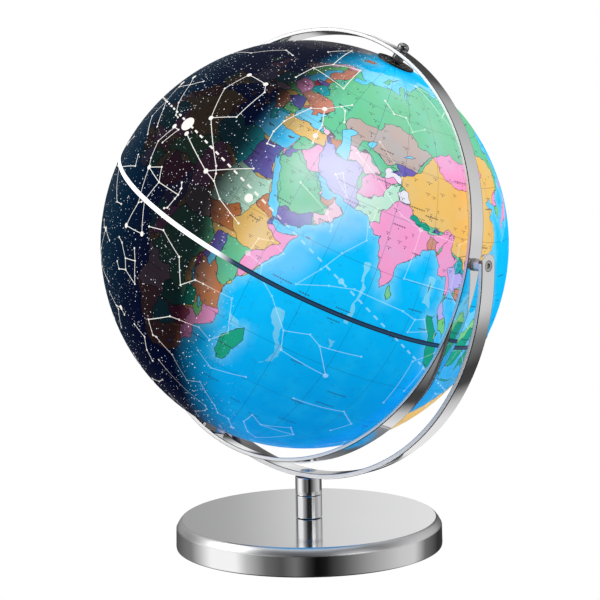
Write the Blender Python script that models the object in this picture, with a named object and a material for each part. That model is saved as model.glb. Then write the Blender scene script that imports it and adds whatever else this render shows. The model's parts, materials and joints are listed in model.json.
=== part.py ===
"""Illuminated terrestrial and celestial globe on a weighted metal base.

A half-ring yoke stands on a short stem. A full meridian ring tilts in the yoke about the X axis,
the globe turns on its polar axis inside the ring, and an hour dial turns on the north pole.
Units are metres, +Z is up, and the origin is at the centre of the base's underside.
"""

from math import acos, asin, cos, pi, radians, sin, sqrt

import bmesh
import bpy
from mathutils import Euler, Matrix, Vector

MM = 0.001
GAP = 0.3 * MM  # clearance between pieces that rest on each other

# Driving dimensions
GLOBE_RADIUS = 114.3 * MM  # a nine inch globe
GLOBE_CENTRE_HEIGHT = 173.0 * MM
POLAR_TILT = radians(23.5)  # angle between the polar axis and the ring's own upright
RING_TILT = radians(-14.6)  # resting lean of the meridian ring about X

RING_INNER_RADIUS = 120.3 * MM
RING_THICKNESS = 2.2 * MM
RING_WIDTH = 10.8 * MM
YOKE_INNER_RADIUS = 129.7 * MM
YOKE_THICKNESS = 2.8 * MM
YOKE_WIDTH = 11.2 * MM
EAR_RISE = 0.9 * MM  # the centre of each ear's round end, above the pivot axis

BASE_RADIUS = 75.6 * MM
BASE_WALL_TOP_RADIUS = 75.3 * MM
BASE_FLAT_RADIUS = 72.0 * MM
BASE_WALL_TOP = 11.8 * MM
BASE_HEIGHT = 16.4 * MM
BASE_SHEET = 1.5 * MM
BASE_RIM_HEIGHT = 0.4 * MM
PAD_RADIUS = 70.0 * MM
PAD_THICKNESS = 1.0 * MM
STEM_RADIUS = 7.5 * MM
STEM_SEAM_HEIGHT = 29.6 * MM
ROD_RADIUS = 3.0 * MM
ROD_HOLE_RADIUS = ROD_RADIUS + GAP
WEIGHT_RADIUS = 70.6 * MM
RECESS_RADIUS = 8.5 * MM  # the pocket in the ballast for the clamp nut
RECESS_TOP = 8.7 * MM
CLAMP_WASHER_RADIUS = 7.2 * MM
CLAMP_WASHER_THICKNESS = 1.0 * MM
CLAMP_NUT_ACROSS_FLATS = 10.0 * MM
CLAMP_NUT_HEIGHT = 5.0 * MM

SHELL_THICKNESS = 2.0 * MM
SEAM_HALF_WIDTH = 1.2 * MM
SEAM_PROUD = 0.2 * MM
DIAL_RADIUS = 10.8 * MM
DIAL_THICKNESS = 1.0 * MM
SPACER_ACROSS_FLATS = 6.0 * MM
SOUTH_SPACER_ACROSS_FLATS = 13.0 * MM
NUT_ACROSS_FLATS = 5.5 * MM
PIVOT_NUT_HEIGHT = 2.2 * MM
LOCK_NUT_HEIGHT = 2.4 * MM
LOCK_NUT_TOP = 108.6 * MM  # distance from the globe's centre
CAP_NUT_RADIUS = 3.3 * MM
CAP_NUT_STRAIGHT = 2.2 * MM
CAP_NUT_DOME = 3.4 * MM
CAP_NUT_HOLE_DEPTH = 3.8 * MM
PIVOT_WASHER_RADIUS = 3.4 * MM
PIVOT_WASHER_THICKNESS = 0.6 * MM
PIVOT_HEAD_RADIUS = 2.8 * MM
PIVOT_SOCKET_RADIUS = 1.0 * MM
PIVOT_SOCKET_DEPTH = 0.9 * MM
STEM_HEAD_RADIUS = 4.3 * MM
STEM_SHANK_RADIUS = 2.5 * MM
STEM_SCREW_LENGTH = 9.5 * MM
STEM_SOCKET_RADIUS = 1.6 * MM
STEM_SOCKET_DEPTH = 1.5 * MM
HEAD_SINK = 0.1 * MM  # how far a countersunk head lies below the band's face
HEAD_RIM = 0.2 * MM  # the straight rim above a countersunk head's cone
STUD_RADIUS = 1.5 * MM
STUD_HOLE_RADIUS = 1.6 * MM  # running fit
LOOSE_HOLE_RADIUS = 1.8 * MM
LAMP_TUBE_RADIUS = 5.0 * MM
LAMP_TUBE_BORE = 3.9 * MM
INLET_RADIUS = 3.5 * MM
LAMP_TUBE_END = 30.0 * MM  # distance of the tube's inner end from the globe's centre
LAMP_HOLDER_RADIUS = 15.0 * MM
LAMP_HOLDER_WALL = 1.6 * MM
LAMP_HOLDER_TOP = 17.0 * MM  # distance of the cup's rim from the globe's centre
DIFFUSER_RADIUS = 21.0 * MM
DIFFUSER_RISE = 13.0 * MM  # height of the dome's widest circle above the cup
DIFFUSER_WALL = 1.4 * MM
LED_BOARD_RADIUS = 11.0 * MM
LED_BOARD_THICKNESS = 1.2 * MM
LED_BOARD_PLACE = 19.2 * MM  # distance of the board's underside from the globe's centre

FINE = 48  # segments of the large turned pieces
MEDIUM = 24
SMALL = 16
HEX = 6

RING_OUTER_RADIUS = RING_INNER_RADIUS + RING_THICKNESS
YOKE_OUTER_RADIUS = YOKE_INNER_RADIUS + YOKE_THICKNESS
SHELL_INNER_RADIUS = GLOBE_RADIUS - SHELL_THICKNESS
GLOBE_CENTRE = Vector((0, 0, GLOBE_CENTRE_HEIGHT))


def clear_scene():
    """Remove whatever the scene holds."""
    for obj in list(bpy.data.objects):
        bpy.data.objects.remove(obj, do_unlink=True)


def principled(name, colour, roughness, metallic=0.0):
    """A Principled material of one colour."""
    material = bpy.data.materials.new(name)
    material.use_nodes = True
    shader = material.node_tree.nodes["Principled BSDF"]
    shader.inputs["Base Color"].default_value = (*colour, 1)
    shader.inputs["Roughness"].default_value = roughness
    shader.inputs["Metallic"].default_value = metallic
    return material


def finish_mesh(name, bm, material, parent=None):
    """Close a bmesh into a smooth-shaded object with its normals pointing out."""
    bmesh.ops.remove_doubles(bm, verts=bm.verts, dist=1e-7)
    bmesh.ops.recalc_face_normals(bm, faces=bm.faces)
    mesh = bpy.data.meshes.new(name)
    bm.to_mesh(mesh)
    bm.free()
    mesh.shade_smooth()
    mesh.set_sharp_from_angle(angle=radians(30))
    mesh.materials.append(material)
    obj = bpy.data.objects.new(name, mesh)
    bpy.context.scene.collection.objects.link(obj)
    obj.parent = parent
    return obj


def turned_mesh(profile, segments):
    """Spin a closed outline of (radius, z) points about Z.

    An edge that lies on the axis is left out, and its two ends become the poles.
    """
    bm = bmesh.new()
    verts = [bm.verts.new((r, 0, z)) for r, z in profile]
    edges = []
    for start, end in zip(verts, verts[1:] + verts[:1]):
        if start.co.x > 1e-9 or end.co.x > 1e-9:
            edges.append(bm.edges.new((start, end)))
    bmesh.ops.spin(bm, geom=verts + edges, axis=(0, 0, 1), cent=(0, 0, 0),
                   angle=2 * pi, steps=segments, use_merge=True)
    bmesh.ops.remove_doubles(bm, verts=bm.verts, dist=1e-7)
    return bm


def turned(name, profile, segments, material, parent=None):
    """A solid of revolution about the parent's Z axis."""
    return finish_mesh(name, turned_mesh(profile, segments), material, parent)


def sleeve_profile(inner, outer, low, high):
    """The outline of a plain ring or tube."""
    return [(inner, low), (outer, low), (outer, high), (inner, high)]


def drill(target, cutter):
    """Cut a hidden cutter's shape out of a piece."""
    cutter.hide_render = True
    cutter.display_type = "WIRE"
    modifier = target.modifiers.new("cut_" + cutter.name, "BOOLEAN")
    modifier.operation = "DIFFERENCE"
    modifier.solver = "EXACT"
    modifier.object = cutter


def hex_prism(name, across_flats, low, high, material, parent=None, hole=None):
    """A hexagonal prism along the parent's Z, with an optional round hole through it."""
    bm = bmesh.new()
    bmesh.ops.create_cone(bm, cap_ends=True, segments=HEX, radius1=across_flats / sqrt(3),
                          radius2=across_flats / sqrt(3), depth=high - low)
    bmesh.ops.translate(bm, verts=bm.verts, vec=(0, 0, (low + high) / 2))
    obj = finish_mesh(name, bm, material, parent)
    if hole is not None:
        profile = [(0, low - GAP), (hole, low - GAP), (hole, high + GAP), (0, high + GAP)]
        drill(obj, turned(name + "_hole", profile, SMALL, material, parent))
    return obj


def axis_empty(name, location, rotation, parent=None):
    """An empty whose origin and Z axis carry the pieces that turn with it."""
    empty = bpy.data.objects.new(name, None)
    bpy.context.scene.collection.objects.link(empty)
    empty.location = location
    empty.rotation_euler = rotation
    empty.parent = parent
    return empty


def arc(centre_r, centre_z, radius_r, radius_z, start, end, steps):
    """Points along an elliptical arc in a (radius, z) outline."""
    angles = [start + (end - start) * i / steps for i in range(steps + 1)]
    return [(centre_r + radius_r * cos(a), centre_z + radius_z * sin(a)) for a in angles]


def countersunk_profile(tip, head_face, head_radius, shank_radius, socket_radius, socket_depth):
    """A countersunk screw along Z with a round socket, its head face at the high end."""
    cone = head_radius - shank_radius
    return [
        (0, tip),
        (shank_radius, tip),
        (shank_radius, head_face - HEAD_RIM - cone),
        (head_radius, head_face - HEAD_RIM),
        (head_radius, head_face),
        (socket_radius, head_face),
        (socket_radius, head_face - socket_depth),
        (0, head_face - socket_depth),
    ]


def countersink_cutter(name, head_face, head_radius, shank_radius, far, over, parent, material):
    """The hole that a countersunk screw sits in, 0.3 mm larger than the screw all round."""
    head = head_radius + GAP
    shank = shank_radius + GAP
    shoulder = head_face - HEAD_RIM - (head_radius - shank_radius) - GAP
    profile = [
        (0, far),
        (shank, far),
        (shank, shoulder),
        (head, shoulder + head - shank),
        (head, over),
        (0, over),
    ]
    return turned(name, profile, MEDIUM, material, parent)


# ---------------------------------------------------------------- base and stem


def make_base(m):
    """The weighted foot: pad, closing plate, ballast, polished shell and the clamp nut."""
    turned("base_pad", sleeve_profile(RECESS_RADIUS + GAP, PAD_RADIUS, 0, PAD_THICKNESS), FINE, m["foam"])

    plate_low = PAD_THICKNESS + GAP
    plate_high = plate_low + 1.0 * MM
    plate_radius = BASE_WALL_TOP_RADIUS - BASE_SHEET - 0.8 * MM
    turned("base_bottom_plate", sleeve_profile(RECESS_RADIUS + GAP, plate_radius, plate_low, plate_high),
           FINE, m["black_steel"])

    weight_low = plate_high + GAP
    weight_high = BASE_HEIGHT - BASE_SHEET - GAP
    turned("base_weight", [
        (RECESS_RADIUS, weight_low),
        (WEIGHT_RADIUS, weight_low),
        (WEIGHT_RADIUS, weight_high),
        (ROD_HOLE_RADIUS, weight_high),
        (ROD_HOLE_RADIUS, RECESS_TOP),
        (RECESS_RADIUS, RECESS_TOP),
    ], 40, m["cast_iron"])

    fillet_r = BASE_WALL_TOP_RADIUS - BASE_FLAT_RADIUS
    fillet_z = BASE_HEIGHT - BASE_WALL_TOP
    outer_edge = arc(BASE_FLAT_RADIUS, BASE_WALL_TOP, fillet_r, fillet_z, 0, pi / 2, 4)
    inner_edge = arc(BASE_FLAT_RADIUS, BASE_WALL_TOP, fillet_r - BASE_SHEET, fillet_z - BASE_SHEET,
                     pi / 2, 0, 2)
    profile = [(BASE_RADIUS - BASE_SHEET, BASE_RIM_HEIGHT), (BASE_RADIUS, BASE_RIM_HEIGHT)]
    profile += outer_edge
    profile += [(ROD_HOLE_RADIUS, BASE_HEIGHT), (ROD_HOLE_RADIUS, BASE_HEIGHT - BASE_SHEET)]
    profile += inner_edge
    turned("base_shell", profile, FINE, m["brushed"])

    washer_low = RECESS_TOP - GAP - CLAMP_WASHER_THICKNESS
    washer = sleeve_profile(ROD_HOLE_RADIUS, CLAMP_WASHER_RADIUS, washer_low, RECESS_TOP - GAP)
    turned("base_washer", washer, MEDIUM, m["zinc"])
    nut_high = washer_low - GAP
    hex_prism("base_nut", CLAMP_NUT_ACROSS_FLATS, nut_high - CLAMP_NUT_HEIGHT, nut_high, m["zinc"],
              hole=ROD_HOLE_RADIUS)


def make_stem(m):
    """The two-part stem and the threaded rod that ties it to the base."""
    chamfer = 0.35 * MM
    stem_top = GLOBE_CENTRE_HEIGHT - YOKE_OUTER_RADIUS - GAP
    for name, low, high in (
        ("stem_lower", BASE_HEIGHT + GAP, STEM_SEAM_HEIGHT),
        ("stem_upper", STEM_SEAM_HEIGHT + GAP, stem_top),
    ):
        turned(name, [
            (ROD_HOLE_RADIUS, low),
            (STEM_RADIUS - chamfer, low),
            (STEM_RADIUS, low + chamfer),
            (STEM_RADIUS, high - chamfer),
            (STEM_RADIUS - chamfer, high),
            (ROD_HOLE_RADIUS, high),
        ], MEDIUM, m["chrome"])
    rod_low = 2.4 * MM
    rod_high = stem_top - 7.0 * MM
    turned("stem_rod", [(0, rod_low), (ROD_RADIUS, rod_low), (ROD_RADIUS, rod_high), (0, rod_high)],
           SMALL, m["zinc"])


# ---------------------------------------------------------------- yoke and pivots


def make_yoke_band(m):
    """The half ring, made as a flat strip with round ends and then bent about the Y axis."""
    middle_radius = YOKE_INNER_RADIUS + YOKE_THICKNESS / 2
    half_width = YOKE_WIDTH / 2
    straight_end = middle_radius * (pi / 2 + asin(EAR_RISE / middle_radius))
    end_steps = 8
    outline = []
    for side in (1, -1):
        for i in range(end_steps + 1):
            turn = -pi / 2 + pi * i / end_steps
            outline.append((side * (straight_end + half_width * cos(turn)), side * half_width * sin(turn)))
    bm = bmesh.new()
    face = bm.faces.new([bm.verts.new((s, y, 0)) for s, y in outline])
    top = bmesh.ops.extrude_face_region(bm, geom=[face])
    raised = [item for item in top["geom"] if isinstance(item, bmesh.types.BMVert)]
    bmesh.ops.translate(bm, verts=raised, vec=(0, 0, YOKE_THICKNESS))
    steps = 48
    for i in range(steps + 1):
        place = straight_end * (2 * i / steps - 1)
        everything = bm.verts[:] + bm.edges[:] + bm.faces[:]
        bmesh.ops.bisect_plane(bm, geom=everything, plane_co=(place, 0, 0), plane_no=(1, 0, 0), dist=1e-7)
    for vert in bm.verts:
        angle = vert.co.x / middle_radius - pi / 2
        radius = YOKE_INNER_RADIUS + vert.co.z
        vert.co = (radius * cos(angle), vert.co.y, radius * sin(angle))
    bmesh.ops.translate(bm, verts=bm.verts, vec=GLOBE_CENTRE)
    return finish_mesh("yoke", bm, m["chrome"])


def make_yoke(m):
    """The yoke with its stem screw and, at each end, the pivot's screw, spacer, washer and nut."""
    yoke = make_yoke_band(m)
    stem_axis = axis_empty("stem_screw_axis", (0, 0, 0), (0, 0, 0))
    inner_face = GLOBE_CENTRE_HEIGHT - YOKE_INNER_RADIUS
    stem_head = inner_face - HEAD_SINK
    screw = countersunk_profile(inner_face - STEM_SCREW_LENGTH, stem_head, STEM_HEAD_RADIUS,
                                STEM_SHANK_RADIUS, STEM_SOCKET_RADIUS, STEM_SOCKET_DEPTH)
    turned("yoke_screw", screw, MEDIUM, m["zinc"])
    drill(yoke, countersink_cutter("yoke_screw_hole", stem_head, STEM_HEAD_RADIUS, STEM_SHANK_RADIUS,
                                   inner_face - 2 * YOKE_THICKNESS, inner_face + YOKE_THICKNESS,
                                   stem_axis, m["chrome"]))

    for side, turn in (("right", pi / 2), ("left", -pi / 2)):
        pivot = axis_empty("pivot_axis_" + side, GLOBE_CENTRE, (0, turn, 0))
        head_face = YOKE_OUTER_RADIUS - HEAD_SINK
        nut_low = RING_INNER_RADIUS - GAP - PIVOT_NUT_HEIGHT
        screw = countersunk_profile(nut_low - GAP, head_face, PIVOT_HEAD_RADIUS, STUD_RADIUS,
                                    PIVOT_SOCKET_RADIUS, PIVOT_SOCKET_DEPTH)
        turned("pivot_screw_" + side, screw, SMALL, m["zinc"], pivot)
        drill(yoke, countersink_cutter("pivot_hole_" + side, head_face, PIVOT_HEAD_RADIUS, STUD_RADIUS,
                                       YOKE_INNER_RADIUS - YOKE_THICKNESS,
                                       YOKE_OUTER_RADIUS + YOKE_THICKNESS, pivot, m["chrome"]))
        washer_low = RING_OUTER_RADIUS + GAP
        washer_high = washer_low + PIVOT_WASHER_THICKNESS
        washer = sleeve_profile(LOOSE_HOLE_RADIUS, PIVOT_WASHER_RADIUS, washer_low, washer_high)
        turned("pivot_washer_" + side, washer, SMALL, m["nylon"], pivot)
        hex_prism("pivot_spacer_" + side, SPACER_ACROSS_FLATS, washer_high + GAP,
                  YOKE_INNER_RADIUS - GAP, m["chrome"], pivot, LOOSE_HOLE_RADIUS)
        hex_prism("pivot_nut_" + side, NUT_ACROSS_FLATS, nut_low, RING_INNER_RADIUS - GAP, m["zinc"],
                  pivot, LOOSE_HOLE_RADIUS)


# ---------------------------------------------------------------- meridian ring


def make_ring(m, tilt, polar):
    """The full ring, drilled for its two pivots, the north stud and the lamp inlet."""
    bm = turned_mesh(sleeve_profile(RING_INNER_RADIUS, RING_OUTER_RADIUS, -RING_WIDTH / 2, RING_WIDTH / 2),
                     2 * FINE)
    bmesh.ops.rotate(bm, verts=bm.verts, cent=(0, 0, 0), matrix=Matrix.Rotation(pi / 2, 3, "X"))
    ring = finish_mesh("meridian_ring", bm, m["chrome"], tilt)

    reach = RING_OUTER_RADIUS + RING_THICKNESS
    near = RING_INNER_RADIUS - RING_THICKNESS
    cross = axis_empty("ring_pivot_axis", (0, 0, 0), (0, pi / 2, 0), tilt)
    through = [(0, -reach), (STUD_HOLE_RADIUS, -reach), (STUD_HOLE_RADIUS, reach), (0, reach)]
    drill(ring, turned("ring_pivot_holes", through, SMALL, m["chrome"], cross))
    north = [(0, near), (LOOSE_HOLE_RADIUS, near), (LOOSE_HOLE_RADIUS, reach), (0, reach)]
    drill(ring, turned("ring_north_hole", north, SMALL, m["chrome"], polar))
    south_radius = INLET_RADIUS + GAP
    south = [(0, -reach), (south_radius, -reach), (south_radius, -near), (0, -near)]
    drill(ring, turned("ring_south_hole", south, SMALL, m["chrome"], polar))


def make_north_pole(m, polar):
    """The stud that the globe hangs on, with its spacer, domed cap nut and inner lock nut."""
    shell_face = GLOBE_RADIUS + GAP + DIAL_THICKNESS
    spacer_low = shell_face + GAP
    spacer_high = RING_INNER_RADIUS - GAP
    hex_prism("north_spacer", SPACER_ACROSS_FLATS, spacer_low, spacer_high, m["chrome"], polar,
              LOOSE_HOLE_RADIUS)

    nut_low = RING_OUTER_RADIUS + GAP
    dome = arc(0, nut_low + CAP_NUT_STRAIGHT, CAP_NUT_RADIUS, CAP_NUT_DOME, 0, pi / 2, 5)
    dome[-1] = (0, dome[-1][1])
    hole_top = nut_low + CAP_NUT_HOLE_DEPTH
    chamfer = 0.3 * MM
    profile = [(0, hole_top), (LOOSE_HOLE_RADIUS, hole_top), (LOOSE_HOLE_RADIUS, nut_low),
               (CAP_NUT_RADIUS - chamfer, nut_low), (CAP_NUT_RADIUS, nut_low + chamfer)]
    turned("north_cap_nut", profile + dome, SMALL, m["dark_chrome"], polar)

    lock_low = LOCK_NUT_TOP - LOCK_NUT_HEIGHT
    hex_prism("north_lock_nut", NUT_ACROSS_FLATS, lock_low, LOCK_NUT_TOP, m["zinc"], polar,
              LOOSE_HOLE_RADIUS)
    stud_low = lock_low - 1.0 * MM
    stud_high = hole_top - GAP
    turned("north_stud", [(0, stud_low), (STUD_RADIUS, stud_low), (STUD_RADIUS, stud_high), (0, stud_high)],
           SMALL, m["zinc"], polar)


def make_lamp(m, polar):
    """The hollow south axle with the inlet at its outer end and the lamp at its inner end."""
    tube_out = RING_INNER_RADIUS - GAP
    inlet_out = RING_OUTER_RADIUS - HEAD_SINK
    inlet_in = inlet_out - 13.8 * MM
    socket = 2.75 * MM
    socket_floor = inlet_in + 3.4 * MM
    pin = 0.8 * MM
    pin_tip = inlet_out - 1.2 * MM
    turned("dc_inlet", [
        (0, -inlet_in),
        (0, -pin_tip),
        (pin, -pin_tip),
        (pin, -socket_floor),
        (socket, -socket_floor),
        (socket, -inlet_out),
        (INLET_RADIUS, -inlet_out),
        (INLET_RADIUS, -inlet_in),
    ], SMALL, m["black_plastic"], polar)

    turned("lamp_tube", sleeve_profile(LAMP_TUBE_BORE, LAMP_TUBE_RADIUS, -tube_out, -LAMP_TUBE_END),
           MEDIUM, m["zinc"], polar)
    hex_prism("south_spacer", SOUTH_SPACER_ACROSS_FLATS, -tube_out, -(GLOBE_RADIUS + GAP), m["chrome"], polar,
              LAMP_TUBE_RADIUS + GAP)
    clip_in = -106.7 * MM
    clip = sleeve_profile(LAMP_TUBE_RADIUS + 0.1 * MM, 7.6 * MM, clip_in - 0.9 * MM, clip_in)
    turned("south_clip", clip, MEDIUM, m["zinc"], polar)

    wall = LAMP_HOLDER_WALL
    seat = LAMP_TUBE_RADIUS + GAP
    lead_hole = 2.0 * MM
    holder_low = -(LAMP_TUBE_END + 9.0 * MM)
    holder_neck = -LAMP_TUBE_END + GAP
    holder_floor = holder_neck + 3.0 * MM
    turned("lamp_holder", [
        (seat, holder_low),
        (seat + wall, holder_low),
        (seat + wall, holder_neck),
        (LAMP_HOLDER_RADIUS, holder_floor),
        (LAMP_HOLDER_RADIUS, -LAMP_HOLDER_TOP),
        (LAMP_HOLDER_RADIUS - wall, -LAMP_HOLDER_TOP),
        (LAMP_HOLDER_RADIUS - wall, holder_floor + wall),
        (lead_hole, holder_floor + wall),
        (lead_hole, holder_neck),
        (seat, holder_neck),
    ], MEDIUM, m["white_plastic"], polar)

    lead_radius = 1.2 * MM
    lead_out = -(inlet_in - GAP)
    lead_end = -(LED_BOARD_PLACE + GAP)
    lead = [(0, lead_out), (lead_radius, lead_out), (lead_radius, lead_end), (0, lead_end)]
    turned("lamp_lead", lead, 8, m["black_plastic"], polar)
    make_led_board(m, polar)
    make_diffuser(m, polar)


def make_diffuser(m, polar):
    """The opal dome over the board, with a neck that sits inside the lamp holder's rim."""
    base = -LAMP_HOLDER_TOP + GAP
    middle = base + DIFFUSER_RISE
    inside = DIFFUSER_RADIUS - DIFFUSER_WALL
    neck = LAMP_HOLDER_RADIUS - LAMP_HOLDER_WALL - 0.4 * MM
    outer = arc(0, middle, DIFFUSER_RADIUS, DIFFUSER_RADIUS, -asin(DIFFUSER_RISE / DIFFUSER_RADIUS),
                pi / 2, 7)
    inner = arc(0, middle, inside, inside, pi / 2, -asin(DIFFUSER_RISE / inside), 5)
    outer[-1] = (0, outer[-1][1])
    inner[0] = (0, inner[0][1])
    neck_low = base - 1.6 * MM
    profile = [(neck - DIFFUSER_WALL, neck_low), (neck, neck_low), (neck, base)]
    profile += outer + inner + [(neck - DIFFUSER_WALL, base)]
    turned("lamp_diffuser", profile, MEDIUM, m["opal"], polar)


def make_led_board(m, polar):
    """A round board with six emitters standing on it."""
    bm = bmesh.new()
    bmesh.ops.create_cone(bm, cap_ends=True, segments=12, radius1=LED_BOARD_RADIUS,
                          radius2=LED_BOARD_RADIUS, depth=LED_BOARD_THICKNESS)
    bmesh.ops.translate(bm, verts=bm.verts, vec=(0, 0, LED_BOARD_THICKNESS / 2 - LED_BOARD_PLACE))
    top = max(bm.faces, key=lambda face: face.calc_center_median().z)
    petals = bmesh.ops.poke(bm, faces=[top])["faces"]
    for petal in petals[::2]:
        bmesh.ops.inset_individual(bm, faces=[petal], thickness=1.3 * MM, depth=0)
        raised = bmesh.ops.extrude_discrete_faces(bm, faces=[petal])["faces"]
        bmesh.ops.translate(bm, verts=raised[0].verts, vec=(0, 0, 0.7 * MM))
    finish_mesh("led_board", bm, m["led"], polar)


# ---------------------------------------------------------------- globe and hour dial


def make_hemisphere(name, sign, hole_radius, m, polar):
    """One half of the globe's shell, from the seam to the bushing's hole at its pole."""
    seam = SEAM_HALF_WIDTH + GAP
    outer_start = asin(seam / GLOBE_RADIUS)
    outer = arc(0, 0, GLOBE_RADIUS, GLOBE_RADIUS, outer_start, acos(hole_radius / GLOBE_RADIUS), 10)
    inner_start = asin(seam / SHELL_INNER_RADIUS)
    inner = arc(0, 0, SHELL_INNER_RADIUS, SHELL_INNER_RADIUS, acos(hole_radius / SHELL_INNER_RADIUS),
                inner_start, 8)
    profile = [(r, sign * z) for r, z in outer + inner]
    turned(name, profile, FINE, m["globe_print"], polar)


def make_bushing(name, sign, bore, sleeve, flange, m, polar):
    """A flanged bush that lines a pole hole from inside the shell and turns on the axle."""
    flange_high = sqrt(SHELL_INNER_RADIUS**2 - flange**2) - 0.9 * MM
    flange_low = flange_high - 1.8 * MM
    top = sqrt(GLOBE_RADIUS**2 - sleeve**2)
    profile = [(bore, flange_low), (flange, flange_low), (flange, flange_high), (sleeve, flange_high),
               (sleeve, top), (bore, top)]
    turned(name, [(r, sign * z) for r, z in profile], MEDIUM, m["white_plastic"], polar)


def make_globe(m, polar):
    """The printed shell in two halves, the seam ring between them and the two pole bushes."""
    north_sleeve = 4.7 * MM
    south_sleeve = 7.2 * MM
    make_hemisphere("north_hemisphere", 1, north_sleeve + GAP, m, polar)
    make_hemisphere("south_hemisphere", -1, south_sleeve + GAP, m, polar)
    make_bushing("north_bushing", 1, STUD_HOLE_RADIUS, north_sleeve, 9.0 * MM, m, polar)
    make_bushing("south_bushing", -1, LAMP_TUBE_RADIUS + 0.1 * MM, south_sleeve, 11.0 * MM, m, polar)

    web_half = 6.0 * MM
    web_outer = SHELL_INNER_RADIUS - 1.3 * MM
    web_inner = web_outer - 1.8 * MM
    rim = GLOBE_RADIUS + SEAM_PROUD
    turned("equator_ring", [
        (web_inner, -web_half),
        (web_outer, -web_half),
        (web_outer, -SEAM_HALF_WIDTH),
        (rim, -SEAM_HALF_WIDTH),
        (rim, SEAM_HALF_WIDTH),
        (web_outer, SEAM_HALF_WIDTH),
        (web_outer, web_half),
        (web_inner, web_half),
    ], FINE, m["seam"], polar)


def make_hour_dial(m, polar):
    """The setting disc that turns on the north stud, just above the shell."""
    low = GLOBE_RADIUS + GAP
    profile = sleeve_profile(STUD_HOLE_RADIUS, DIAL_RADIUS, low, low + DIAL_THICKNESS)
    turned("hour_dial", profile, 32, m["dial"], polar)


def make_materials():
    """The finishes of the pieces."""
    return {
        "chrome": principled("chrome", (0.86, 0.87, 0.88), 0.08, 1.0),
        "dark_chrome": principled("dark_chrome", (0.35, 0.36, 0.37), 0.15, 1.0),
        "brushed": principled("brushed", (0.78, 0.78, 0.79), 0.25, 1.0),
        "zinc": principled("zinc", (0.7, 0.7, 0.7), 0.3, 1.0),
        "black_steel": principled("black_steel", (0.05, 0.05, 0.05), 0.5, 0.6),
        "cast_iron": principled("cast_iron", (0.12, 0.12, 0.12), 0.7, 0.7),
        "foam": principled("foam", (0.03, 0.03, 0.03), 0.9),
        "nylon": principled("nylon", (0.8, 0.8, 0.76), 0.5),
        "black_plastic": principled("black_plastic", (0.03, 0.03, 0.03), 0.4),
        "white_plastic": principled("white_plastic", (0.8, 0.8, 0.8), 0.4),
        "opal": principled("opal", (0.95, 0.94, 0.9), 0.5),
        "led": principled("led", (0.85, 0.85, 0.6), 0.4),
        "globe_print": principled("globe_print", (0.05, 0.42, 0.8), 0.15),
        "seam": principled("seam", (0.85, 0.86, 0.88), 0.3),
        "dial": principled("dial", (0.15, 0.11, 0.1), 0.35, 0.6),
    }


def main():
    """Build the whole object."""
    clear_scene()
    m = make_materials()
    ring_tilt_axis = axis_empty("ring_tilt_axis", GLOBE_CENTRE, Euler((RING_TILT, 0, 0)))
    polar_axis = axis_empty("polar_axis", (0, 0, 0), Euler((0, POLAR_TILT, 0)), ring_tilt_axis)
    make_base(m)
    make_stem(m)
    make_yoke(m)
    make_ring(m, ring_tilt_axis, polar_axis)
    make_north_pole(m, polar_axis)
    make_lamp(m, polar_axis)
    make_globe(m, polar_axis)
    make_hour_dial(m, polar_axis)


main()
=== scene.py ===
"""Looks of a globe that shows the earth by day and the sky by night.

The printed shells, chrome bands, stem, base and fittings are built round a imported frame, in metres,
with +Z up and the origin under the middle of the base.
"""

from __future__ import annotations

import json
import logging
import random
from collections import defaultdict
from dataclasses import dataclass
from enum import Enum
from math import asin, atan, atan2, cos, degrees, hypot, pi, radians, sin, tan, tanh
from typing import Any, Iterable, Sequence, Union

import bmesh
import bpy
from mathutils import Matrix, Vector, kdtree
from mathutils.geometry import delaunay_2d_cdt, intersect_point_line


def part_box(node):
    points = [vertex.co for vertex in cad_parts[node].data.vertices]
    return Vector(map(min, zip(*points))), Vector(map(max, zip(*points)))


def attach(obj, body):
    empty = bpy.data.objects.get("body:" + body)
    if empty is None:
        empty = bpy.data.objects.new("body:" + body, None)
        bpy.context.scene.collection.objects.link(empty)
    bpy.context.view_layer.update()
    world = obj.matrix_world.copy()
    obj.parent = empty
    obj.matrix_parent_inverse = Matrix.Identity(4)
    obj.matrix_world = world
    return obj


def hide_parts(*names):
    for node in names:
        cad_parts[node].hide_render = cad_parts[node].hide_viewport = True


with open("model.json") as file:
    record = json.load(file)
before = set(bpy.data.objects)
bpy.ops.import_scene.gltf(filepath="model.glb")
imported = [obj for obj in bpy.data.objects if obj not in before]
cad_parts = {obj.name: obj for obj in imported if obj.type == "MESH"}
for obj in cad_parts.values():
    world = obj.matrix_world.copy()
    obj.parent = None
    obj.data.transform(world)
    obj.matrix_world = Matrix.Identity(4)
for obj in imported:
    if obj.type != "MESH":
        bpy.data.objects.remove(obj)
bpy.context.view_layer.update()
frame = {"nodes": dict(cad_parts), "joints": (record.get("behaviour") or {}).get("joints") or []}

LOG = logging.getLogger("globe")
MM = 0.001
MERGE = 1e-7
Point = tuple[float, float]
Colour = tuple[float, float, float]


# ---------------------------------------------------------------- the frame


def joint(name: str) -> dict[str, Any]:
    """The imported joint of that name."""
    return next(j for j in frame["joints"] if j["name"] == name)


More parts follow.
